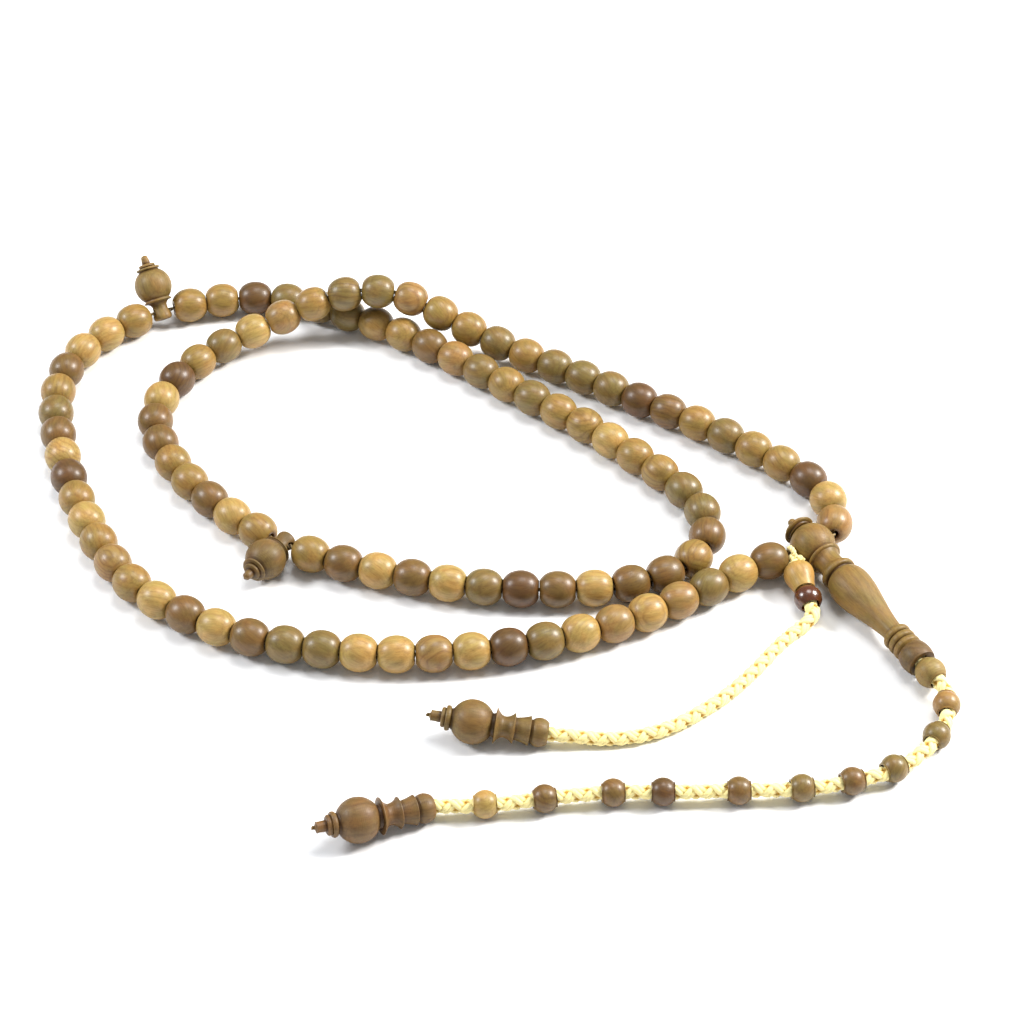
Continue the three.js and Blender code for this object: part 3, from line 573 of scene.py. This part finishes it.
def slider_outline():
    """The tulip-shaped slider, its narrow end cupped over the dark bead."""
    side = [(0.02, CORD_BORE + 0.25), (0.1, 2.25), (0.7, 2.82), (1.8, SLIDER_RADIUS), (3.2, 3.08),
            (4.8, 2.62), (6.1, 2.3), (SLIDER_LENGTH - 0.04, 2.2)]
    bore = [(SLIDER_LENGTH, 2.05), (SLIDER_LENGTH - 0.1, CORD_BORE + 0.05),
            (SLIDER_LENGTH - 0.4, CORD_BORE), (3.0, CORD_BORE), (0.5, CORD_BORE),
            (0.12, CORD_BORE + 0.05)]
    return flowing(side) + bore


# ---- the string and the main beads -------------------------------------------------------------


def ring_middles(node, reach):
    """The middles of the rings of a packed cord, in order; reach joins the points of one ring."""
    copy = bmesh.new()
    copy.from_mesh(frame["nodes"][node].data)
    bmesh.ops.remove_doubles(copy, verts=copy.verts, dist=1e-6)
    ring_of = {}
    rings = []
    for first in copy.verts:
        if first in ring_of:
            continue
        ring, todo = [], [first]
        while todo:
            vertex = todo.pop()
            if vertex in ring_of:
                continue
            ring_of[vertex] = len(rings)
            ring.append(vertex)
            todo += [e.other_vert(vertex) for e in vertex.link_edges if e.calc_length() < reach]
        rings.append(sum((v.co for v in ring), Vector()) / len(ring))
    beside = [set() for _ in rings]
    for edge in copy.edges:
        a, b = (ring_of[v] for v in edge.verts)
        if a != b:
            beside[a].add(b)
            beside[b].add(a)
    copy.free()
    order = [next(k for k, others in enumerate(beside) if len(others) == 1)]
    while len(order) < len(rings):
        order.append(next(k for k in beside[order[-1]] if k not in order[-2:]))
    return [rings[k] for k in order]


string_line = ring_middles("main_string", 1.15 * MM)
first_low, first_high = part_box("section_1_beads_01")
first_middle = (first_low + first_high) / 2
if (string_line[-3] - first_middle).length < (string_line[2] - first_middle).length:
    string_line.reverse()


def section_chords(section):
    """Where each bead of a section starts and ends on the string."""
    start = 2 + section * (BEADS_PER_SECTION + 1)
    ends = string_line[start:start + BEADS_PER_SECTION + 1]
    return list(zip(ends, ends[1:]))


def strand_tree():
    """Puts a bead on each point of a row, each turned, fitted and figured in its own way."""
    tree = bpy.data.node_groups.new("bead strand", "GeometryNodeTree")
    for label, kind in (("Strand", "NodeSocketGeometry"), ("Bead", "NodeSocketObject"),
                        ("Unevenness", "NodeSocketFloat"), ("Seed", "NodeSocketInt"),
                        ("Wood", "NodeSocketMaterial")):
        tree.interface.new_socket(label, in_out="INPUT", socket_type=kind)
    tree.interface.new_socket("Beads", in_out="OUTPUT", socket_type="NodeSocketGeometry")
    nodes = Nodes(tree)
    given = tree.nodes.new("NodeGroupInput")
    strand, bead, unevenness, seed, wood = (Socket(nodes, given.outputs[k]) for k in range(5))

    def random(low, high, shift):
        settings = {"data_type": "FLOAT"}
        inputs = {2: low, 3: high, 8: seed + shift}
        return nodes.add("FunctionNodeRandomValue", settings, inputs, 1)

    def random_vector(reach, shift):
        settings = {"data_type": "FLOAT_VECTOR"}
        inputs = {0: tuple(-r for r in reach), 1: reach, 8: seed + shift}
        return nodes.add("FunctionNodeRandomValue", settings, inputs, 0)

    along = nodes.add("GeometryNodeInputNamedAttribute", {"data_type": "FLOAT_VECTOR"},
                      {"Name": "along"})
    facing = nodes.add("FunctionNodeAlignRotationToVector", {"axis": "Z"}, {"Vector": along})
    spin = nodes.add("FunctionNodeAxisAngleToRotation", {},
                     {"Axis": (0, 0, 1), "Angle": random(0.0, 2 * math.pi, 1)})
    facing = nodes.add("FunctionNodeRotateRotation", {"rotation_space": "LOCAL"},
                       {"Rotation": facing, "Rotate By": spin})
    girth = 1.0 - unevenness * random(0.0, 1.0, 2)
    fill = nodes.add("GeometryNodeInputNamedAttribute", {"data_type": "FLOAT"}, {"Name": "fill"})
    scale = nodes.add("ShaderNodeCombineXYZ", {}, {0: girth, 1: girth, 2: fill})
    shape = nodes.add("GeometryNodeObjectInfo", {}, {"Object": bead}, "Geometry")
    strung = nodes.add("GeometryNodeInstanceOnPoints", {},
                       {"Points": strand, "Instance": shape, "Rotation": facing, "Scale": scale})
    for label, vector in (("grain_turn", random_vector((0.5, 0.5, 3.1), 3)),
                          ("grain_shift", random_vector((14.0, 14.0, 30.0), 4))):
        strung = nodes.add("GeometryNodeStoreNamedAttribute",
                           {"data_type": "FLOAT_VECTOR", "domain": "INSTANCE"},
                           {"Geometry": strung, "Name": label, "Value": vector})
    solid = nodes.add("GeometryNodeRealizeInstances", {}, {"Geometry": strung})
    grain, turn, shift = (
        nodes.add("GeometryNodeInputNamedAttribute", {"data_type": "FLOAT_VECTOR"}, {"Name": label})
        for label in ("grain", "grain_turn", "grain_shift")
    )
    turned = nodes.add("ShaderNodeVectorRotate", {"rotation_type": "EULER_XYZ"},
                       {"Vector": grain, "Rotation": turn})
    solid = nodes.add("GeometryNodeStoreNamedAttribute",
                      {"data_type": "FLOAT_VECTOR", "domain": "POINT"},
                      {"Geometry": solid, "Name": "grain", "Value": nodes.vector("ADD", turned, shift)})
    solid = nodes.add("GeometryNodeSetMaterial", {}, {"Geometry": solid, "Material": wood})
    done = tree.nodes.new("NodeGroupOutput")
    nodes.feed(done.inputs[0], solid)
    return tree


def set_inputs(modifier, **values):
    """Sets a modifier's inputs, given by name, through their sockets' identifiers."""
    for item in modifier.node_group.interface.items_tree:
        if item.item_type == "SOCKET" and item.in_out == "INPUT" and item.name in values:
            modifier[item.identifier] = values[item.name]


def bead_section(section, tree, bead):
    """One section's 33 beads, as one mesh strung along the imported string."""
    chords = section_chords(section)
    runs = [end - start for start, end in chords]
    bends = [0.0] + [math.tan(a.angle(b) / 2) for a, b in zip(runs, runs[1:])] + [0.0]
    rooms = [run.length / MM - CREASE - BEAD_END_RADIUS * (bends[k] + bends[k + 1])
             for k, run in enumerate(runs)]
    fills = [min(room / BEAD_LENGTH, LONGEST_FIT) for room in rooms]
    mesh = bpy.data.meshes.new("strand")
    mesh.from_pydata([(start + end) / 2 for start, end in chords], [], [])
    set_attribute(mesh, "along", "FLOAT_VECTOR", [run.normalized() for run in runs])
    set_attribute(mesh, "fill", "FLOAT", fills)
    letters = SECTION_TONES[section]
    set_attribute(mesh, "tone", "FLOAT_COLOR", [TONES[letter.lower()] for letter in letters])
    set_attribute(mesh, "bold", "FLOAT", [float(letter.isupper()) for letter in letters])
    strand = new_piece("strand", mesh, polished)
    modifier = strand.modifiers.new("beads", "NODES")
    modifier.node_group = tree
    set_inputs(modifier, Bead=bead, Unevenness=BEAD_UNEVENNESS, Seed=11 * (section + 1), Wood=polished)
    made = bpy.data.meshes.new_from_object(
        strand.evaluated_get(bpy.context.evaluated_depsgraph_get())
    )
    strand.modifiers.remove(modifier)
    bpy.data.objects.remove(strand)
    for label in ("grain_turn", "grain_shift", "along", "fill"):
        if label in made.attributes:
            made.attributes.remove(made.attributes[label])
    soften(made)
    piece = new_piece(f"section_{section + 1}_beads", made, polished)
    nodes = [n for n in frame["nodes"] if n.startswith(f"section_{section + 1}_beads_")]
    return finished(piece, "loop", "bead_wood", *sorted(nodes))


bead_outline = bored_bead(BEAD_RADIUS, BEAD_LENGTH, STRING_BORE, fullness=BEAD_FULLNESS)
bead_mesh = lathe(bead_outline, 40, True)
bead_points = vertex_places(bead_mesh) / MM
set_attribute(bead_mesh, "grain", "FLOAT_VECTOR", bead_points)
set_attribute(bead_mesh, "turning", "FLOAT", bead_points[:, 2])
set_attribute(bead_mesh, "hollow", "FLOAT", hollows(bead_points))
bead_pattern = new_piece("bead_pattern", bead_mesh, polished)
beads_on_string = strand_tree()
for section in range(3):
    bead_section(section, beads_on_string, bead_pattern)
bpy.data.objects.remove(bead_pattern)

# ---- cords -------------------------------------------------------------------------------------

PLAIT_LEAD = 7.8  # the length in which a strand goes once round
PLAIT_SIDE = Vector((0.0, -0.75, 0.66))  # the side that a plait's chevrons show on
LINE_STEP = 0.3  # between the points of a cord's line
YARN_SIDES = 8
CORD_LEAD_IN = 1.8  # how far the counter cord's free part reaches into the stop bead
CORD_CORE = 13.6  # how far the part that the head holds reaches in


def frames_along(line):
    """At each point of a line: its direction, a side that faces PLAIT_SIDE, and the third axis."""
    tangent = np.gradient(line, axis=0)
    tangent /= np.linalg.norm(tangent, axis=1)[:, None]
    side = np.array(PLAIT_SIDE) - tangent * (tangent @ np.array(PLAIT_SIDE))[:, None]
    side /= np.linalg.norm(side, axis=1)[:, None]
    return tangent, side, np.cross(tangent, side)


def tube(line, lateral, outward, width, height, sides, proud, fibre_shift):
    """A flattened tube along a line, as points, faces and their yarn attributes."""
    angles = 2 * np.pi * np.arange(sides) / sides
    rim = (lateral[:, None] * (np.cos(angles) * width)[None, :, None]
           + outward[:, None] * (np.sin(angles) * height)[None, :, None])
    points = (line[:, None] + rim).reshape(-1, 3)
    faces = []
    for k in range(len(line) - 1):
        for s in range(sides):
            n = (s + 1) % sides
            faces.append((k * sides + s, k * sides + n, (k + 1) * sides + n, (k + 1) * sides + s))
    last = (len(line) - 1) * sides
    faces.append(tuple(reversed(range(sides))))
    faces.append(tuple(range(last, last + sides)))
    along = np.concatenate([[0], np.cumsum(np.linalg.norm(np.diff(line, axis=0), axis=1))]) / MM
    lay = along[:, None] * 2.4 + angles[None, :]
    fibre = np.stack([np.cos(lay) * 2.2, np.sin(lay) * 2.2,
                      np.repeat(along[:, None] * 0.5 + fibre_shift, sides, axis=1)], axis=-1)
    # proud sets the painted shade: lighter on a yarn's outward side, darker on its inner side.
    height_share = np.clip(proud[:, None] + 0.45 * np.sin(angles)[None, :], 0, 1)
    return points, faces, height_share.ravel(), fibre.reshape(-1, 3)


def joined_tubes(name, tubes, material):
    points, faces, proud, fibre = [], [], [], []
    for tube_points, tube_faces, tube_proud, tube_fibre in tubes:
        shift = sum(len(p) for p in points)
        points.append(tube_points)
        faces += [tuple(i + shift for i in face) for face in tube_faces]
        proud.append(tube_proud)
        fibre.append(tube_fibre)
    mesh = bpy.data.meshes.new(name)
    mesh.from_pydata(np.concatenate(points), [], faces)
    set_attribute(mesh, "proud", "FLOAT", np.concatenate(proud))
    set_attribute(mesh, "fibre", "FLOAT_VECTOR", np.concatenate(fibre))
    shape = bmesh.new()
    shape.from_mesh(mesh)
    bmesh.ops.recalc_face_normals(shape, faces=shape.faces)
    shape.to_mesh(mesh)
    shape.free()
    soften(mesh, 60)
    return new_piece(name, mesh, material)


def plait(name, line, radius, lead, material, looseness=None):
    """A round plait of four strands, two turning each way and passing over and under."""
    line = evenly(np.array(line, float), lead * MM / 20)
    along = np.concatenate([[0], np.cumsum(np.linalg.norm(np.diff(line, axis=0), axis=1))]) / MM
    _, side, third = frames_along(line)
    swell = np.ones(len(line)) if looseness is None else looseness(along)
    turn = 2 * np.pi * along / lead
    # The core lies deepest and takes the full painted shade.
    tubes = [tube(line, side, third, 0.55 * radius * MM, 0.55 * radius * MM, YARN_SIDES,
                  np.zeros(len(line)), 40.0)]
    for k in range(4):
        hand = 1 if k < 2 else -1
        angle = hand * turn + math.pi * (k % 2) + math.pi / 4
        over = hand * np.cos(2 * turn)
        slack = np.array([noise.noise((0.5 * a, 9.0 * k, 0.0)) for a in along])
        reach = radius * MM * swell * (0.54 + 0.20 * over + 0.12 * slack)
        outward = side * np.cos(angle)[:, None] + third * np.sin(angle)[:, None]
        strand = line + outward * reach[:, None]
        heading = np.gradient(strand, axis=0)
        heading /= np.linalg.norm(heading, axis=1)[:, None]
        lateral = np.cross(heading, outward)
        lateral /= np.linalg.norm(lateral, axis=1)[:, None]
        lifted = np.cross(lateral, heading)
        for yarn in (-1, 1):
            sway = np.array([noise.noise((0.6 * a, 5.0 * k, 3.0 * yarn)) for a in along])
            beside = (0.25 * yarn + 0.12 * sway) * radius * MM
            yarn_line = strand + lateral * beside[:, None]
            # Painted shade: a strand is lighter where it passes over and darker where it passes under.
            tubes.append(tube(yarn_line, lateral, lifted, 0.42 * radius * MM, 0.38 * radius * MM,
                              YARN_SIDES, 0.36 + 0.50 * over, 7.0 * k + 3.0 * yarn))
    return joined_tubes(name, tubes, material)


def twisted(name, line, radius, lead, plies, material, step=0.35):
    """A twisted cord of a few plies."""
    line = evenly(np.array(line, float), step * MM)
    along = np.concatenate([[0], np.cumsum(np.linalg.norm(np.diff(line, axis=0), axis=1))]) / MM
    tangent, side, third = frames_along(line)
    tubes = []
    for k in range(plies):
        angle = 2 * np.pi * (along / lead + k / plies)
        outward = side * np.cos(angle)[:, None] + third * np.sin(angle)[:, None]
        strand = line + outward * (0.5 * radius * MM)
        lateral = np.cross(tangent, outward)
        tubes.append(tube(strand, lateral, outward, 0.56 * radius * MM, 0.5 * radius * MM, 6,
                          np.full(len(line), 0.55), 5.0 * k))
    return joined_tubes(name, tubes, material)


string = twisted("main_string_twine", string_line, STRING_RADIUS, 2.6, 2, string_yarn)
finished(string, "loop", "cream_cord", "main_string")

counter_start = Vector(joints["counter_tail_swing"]["pos_m"])
head_place = Vector(joints["head_swing"]["pos_m"])
head_axis = (Vector(joints["stop_bead_spin"]["pos_m"]) - head_place).normalized()
counter_socket = Vector(joints["counter_finial_spin"]["pos_m"])
counter_socket_axis = Vector(joints["counter_finial_spin"]["axis"])
in_socket = SOCKET_DEPTH - SMALL_GAP


def cord_line(start, route, socket, socket_axis, lead_in=()):
    """A free cord's own line, from its start along its route and into its finial's socket."""
    steps = [Vector((start.x + x, start.y + y, z)) for x, y, z in route]
    ends = [socket, socket + socket_axis * (in_socket * MM)]
    return through([*lead_in, start, *steps, *ends], LINE_STEP * MM)


def loosened(spans):
    """Fuller where a plait isn't drawn tight; spans are (middle, width, share) in millimetres."""
    def swell(along):
        total = np.ones(len(along))
        for middle, width, share in spans:
            total += share * np.exp(-(((along - middle) / width) ** 2))
        return total
    return swell


counter_line = cord_line(counter_start, COUNTER_ROUTE, counter_socket, counter_socket_axis,
                         [counter_start - head_axis * (CORD_LEAD_IN * MM)])
counter_cord = plait("counter_cord_plait", counter_line, CORD_RADIUS, PLAIT_LEAD, cream_yarn,
                     loosened([(3.2, 1.6, 0.16), (12.4, 2.0, 0.10), (22.0, 3.0, 0.06)]))
finished(counter_cord, "counter_tail", "cream_cord", "counter_cord")

core_line = [counter_start - head_axis * (depth * MM) for depth in (CORD_CORE, CORD_LEAD_IN)]
cord_root = plait("counter_cord_root", core_line, CORD_RADIUS, PLAIT_LEAD, cream_yarn)
finished(cord_root, "head", "cream_cord", "counter_cord_core")

dark_place = Vector(joints["dark_bead_spin"]["pos_m"])
pendant_axis = Vector(joints["slider_slide"]["axis"]).normalized()
pendant_start = dark_place - pendant_axis * (
    (SLIDER_LENGTH + SMALL_GAP + DARK_BEAD_LENGTH / 2) * MM
)
pendant_slide = joints["slider_slide"]["range_m"][1] / MM
pendant_straight = SLIDER_LENGTH + DARK_BEAD_LENGTH + 2 * SMALL_GAP + pendant_slide
pendant_socket = Vector(joints["pendant_finial_spin"]["pos_m"])
pendant_socket_axis = Vector(joints["pendant_finial_spin"]["axis"])
pendant_bend = pendant_start + pendant_axis * (pendant_straight * MM)
pendant_steps = [Vector((pendant_start.x + x, pendant_start.y + y, z)) for x, y, z in PENDANT_ROUTE]
pendant_line = np.vstack([
    evenly(np.array([pendant_start, pendant_bend]), LINE_STEP * MM)[:-1],
    through([pendant_bend, *pendant_steps, pendant_socket,
             pendant_socket + pendant_socket_axis * (in_socket * MM)], LINE_STEP * MM),
])
pendant_cord = plait("pendant_cord_plait", pendant_line, CORD_RADIUS, PLAIT_LEAD, cream_yarn,
                     loosened([(13.0, 1.5, 0.12)]))
finished(pendant_cord, "pendant", "cream_cord", "pendant_cord")


def pendant_knot():
    """The cord's thin end: round the string beside the head bead, knotted, and a short tail."""
    low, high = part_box("pendant_loop")
    middle = (low + high) / 2
    across = Vector(joints["head_swing"]["axis"]).normalized()
    level = Vector((head_axis.x, head_axis.y, 0)).normalized()
    up = Vector((0, 0, 1))
    reach = 1.62 * MM
    loop = []
    for k in range(34):
        turn = math.radians(-50 + 320 * k / 33)
        rise = up * (math.sin(turn) * reach * 1.04)
        aside = across * ((k - 16) * 0.035 * MM)
        loop.append(middle - level * (math.cos(turn) * reach * 0.95) + rise + aside)
    knot_at = middle + pendant_axis * (1.9 * MM) + up * (0.45 * MM)
    knot = []
    for k in range(49):
        t = 2 * math.pi * k / 48 * 0.97
        ripple = Vector((math.sin(t) + 2 * math.sin(2 * t), math.cos(t) - 2 * math.cos(2 * t),
                         -1.25 * math.sin(3 * t))) * (0.44 * MM)
        knot.append(knot_at + across * ripple.x + pendant_axis * (ripple.y * 0.9) + up * ripple.z)
    tail = [knot_at, knot_at - across * (1.3 * MM) + up * (0.5 * MM),
            knot_at - across * (2.1 * MM) + pendant_axis * (1.0 * MM) + up * (0.1 * MM)]
    tubes = []
    for line, radius in ((loop, 0.62), (knot, 0.60), (tail, 0.55)):
        fine = through(np.array(line), 0.12 * MM)
        tangent, side, third = frames_along(fine)
        along = np.linspace(0, 1, len(fine)) * len(fine) * 0.12
        for ply in range(3):
            angle = 2 * np.pi * (along / 2.2 + ply / 3)
            outward = side * np.cos(angle)[:, None] + third * np.sin(angle)[:, None]
            strand = fine + outward * (0.42 * radius * MM)
            tubes.append(tube(strand, np.cross(tangent, outward), outward, 0.62 * radius * MM,
                              0.56 * radius * MM, YARN_SIDES, np.full(len(fine), 0.6), 3.0 * ply))
    return joined_tubes("pendant_loop_knot", tubes, cream_yarn)


finished(pendant_knot(), "pendant", "cream_cord", "pendant_loop")

# ---- the head bead and what is strung below it -------------------------------------------------

string_axis = Vector(joints["head_swing"]["axis"])
olive_brown = paint(124, 99, 46)
head_mesh = cross_bored(lathe(head_outline(), 96, False), STRING_BORE, 2 * BARREL_RADIUS)
soften(head_mesh)
place_wood(head_mesh, upright(head_place, head_axis, string_axis), olive_brown, 0.0,
           (0.02, 0.03, 0.6), (7.0, 3.0, 0.0))
finished(new_piece("head_bead_wood", head_mesh, unpolished), "head", "turned_wood", "head_bead")


def round_bead(name, joint, radius, length, tone, material, body, slot, node, seed, fullness=1.0,
               bold=0.0):
    """A bored bead for the cord, spinning on the given joint."""
    spin = joints[joint]
    mesh = lathe(bored_bead(radius, length, CORD_BORE, 0.2, 24, fullness), 64, True)
    soften(mesh)
    place_wood(mesh, upright(spin["pos_m"], spin["axis"]), tone, bold, (1.1 * seed, 0.7 * seed, 0.4),
               (5.0 + 3.0 * seed, -8.0 + 5.0 * seed, 2.0))
    return finished(new_piece(name, mesh, material), body, slot, node)


round_bead("foot_disc_wood", "foot_disc_spin", FOOT_DISC_RADIUS, FOOT_DISC_LENGTH,
           paint(98, 75, 36), unpolished, "foot_disc", "turned_wood", "foot_disc", 1, 1.9, 0.5)
round_bead("stop_bead_wood", "stop_bead_spin", STOP_BEAD_RADIUS, STOP_BEAD_LENGTH,
           paint(138, 117, 64), unpolished, "stop_bead", "bead_wood", "stop_bead", 2)
round_bead("dark_bead_wood", "dark_bead_spin", DARK_BEAD_RADIUS, DARK_BEAD_LENGTH,
           paint(84, 42, 16), lacquered, "dark_bead", "dark_wood", "dark_bead", 3)

slider_mesh = lathe(slider_outline(), 72, True)
soften(slider_mesh)
place_wood(slider_mesh, upright(pendant_start, pendant_axis), paint(170, 136, 72), 0.9,
           (0.1, 0.2, 2.2), (4.5, 1.2, 0.0))
finished(new_piece("slider_wood", slider_mesh, pale), "slider", "light_wood", "slider_bead")

# ---- counter beads, finials and separators -----------------------------------------------------

for number, letter in enumerate(COUNTER_TONES, start=1):
    node = f"counter_bead_{number:02d}"
    low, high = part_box(node)
    mesh = lathe(bored_bead(COUNTER_BEAD_RADIUS, COUNTER_BEAD_LENGTH, CORD_BORE, 0.18, 22), 56, True)
    soften(mesh)
    place_wood(mesh, upright((low + high) / 2, joints[node + "_slide"]["axis"]), TONES[letter.lower()],
               float(letter.isupper()), (1.3 * number, 0.9 * number, 0.5 * number),
               (6.0 * number, -11.0 + 4.0 * number, 3.0 * number))
    bead = new_piece(node + "_wood", mesh, polished)
    finished(bead, node, "bead_wood", node)


def finial(name, node, body, joint, keen, tone, seed):
    spin = joints[joint]
    mesh = lathe(finial_outline(keen), 80, False)
    roughen(mesh, FINIAL_LENGTH - 1.3, 0.28, 0.55)
    soften(mesh)
    place_wood(mesh, upright(spin["pos_m"], spin["axis"]), tone, 0.1, (0.03, 0.02, seed),
               (6.0, 2.5 * seed, 4.0))
    return finished(new_piece(name, mesh, unpolished), body, "turned_wood", node)


counter_finial = finial("counter_finial_wood", "counter_finial", "counter_finial",
                        "counter_finial_spin", False, paint(112, 84, 44), 0.8)
pendant_finial = finial("pendant_finial_wood", "pendant_finial", "pendant_finial",
                        "pendant_finial_spin", True, paint(116, 92, 46), 2.1)


def middle_of(node):
    """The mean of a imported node's own points, which lies on its axis."""
    places = np.unique(np.round(vertex_places(frame["nodes"][node].data), 7), axis=0)
    return Vector(places.mean(axis=0))


for number, tone in ((1, paint(128, 104, 54)), (2, paint(110, 87, 44))):
    node = f"separator_{number}"
    hole = Vector(joints[node + "_turn"]["pos_m"])
    hole_axis = Vector(joints[node + "_turn"]["axis"])
    out = middle_of(node) - hole
    out -= hole_axis * out.dot(hole_axis)
    mesh = cross_bored(lathe(separator_outline(), 84, False), STRING_BORE, 2 * SEPARATOR_FOOT)
    roughen(mesh, 12.2, 0.12, 0.5)
    soften(mesh)
    place_wood(mesh, upright(hole, out, hole_axis), tone, 0.25, (0.04, 0.03, 1.3 * number),
               (5.0, 3.0 * number, 0.0))
    finished(new_piece(node + "_wood", mesh, unpolished), node, "turned_wood", node)

# ---- the table, the light and the camera -------------------------------------------------------


def table():
    """The white paper that the beads lie on, far wider than the view."""
    mesh = bpy.data.meshes.new("table")
    reach = 3.0
    mesh.from_pydata([(-reach, -reach, 0), (reach, -reach, 0), (reach, reach, 0), (-reach, reach, 0)],
                     [], [(0, 1, 2, 3)])
    paper, _, _ = new_surface("white paper", {"Base Color": (0.9, 0.9, 0.9, 1), "Roughness": 0.85})
    new_piece("table_top", mesh, paper)


def softbox(name, place, size, power, colour):
    """A round lamp of so many watts that faces the middle of the table."""
    light = bpy.data.lights.new(name, "AREA")
    light.shape, light.size, light.energy, light.color = "DISK", size, power, colour
    lamp = bpy.data.objects.new(name, light)
    lamp.location = place
    lamp.rotation_euler = (-Vector(place)).to_track_quat("-Z", "Y").to_euler()
    bpy.context.scene.collection.objects.link(lamp)


table()
softbox("right softbox", (0.62, 0.12, 0.52), 0.28, 11.8, (1.0, 0.98, 0.95))
softbox("left softbox", (-0.62, 0.02, 0.50), 0.28, 5.0, (0.95, 0.97, 1.0))
softbox("overhead softbox", (0.10, 0.20, 0.95), 0.50, 5.0, (1.0, 1.0, 1.0))

world = bpy.data.worlds.new("studio")
world.use_nodes = True
background = world.node_tree.nodes["Background"]
background.inputs["Color"].default_value = (0.93, 0.96, 1.0, 1)
background.inputs["Strength"].default_value = 0.36
bpy.context.scene.world = world
bpy.context.scene.view_settings.view_transform = "Standard"

CAMERA_PLACE = (0.0095, -0.4592, 0.395)
CAMERA_DOWN = 41.3  # degrees below level
CAMERA_LENS = 96.7
camera = bpy.data.objects.new("camera", bpy.data.cameras.new("camera"))
camera.data.lens = CAMERA_LENS
camera.data.clip_start = 0.01
camera.location = CAMERA_PLACE
camera.rotation_euler = (math.radians(90 - CAMERA_DOWN), 0, 0)
bpy.context.scene.collection.objects.link(camera)
bpy.context.scene.camera = camera

bpy.context.view_layer.update()
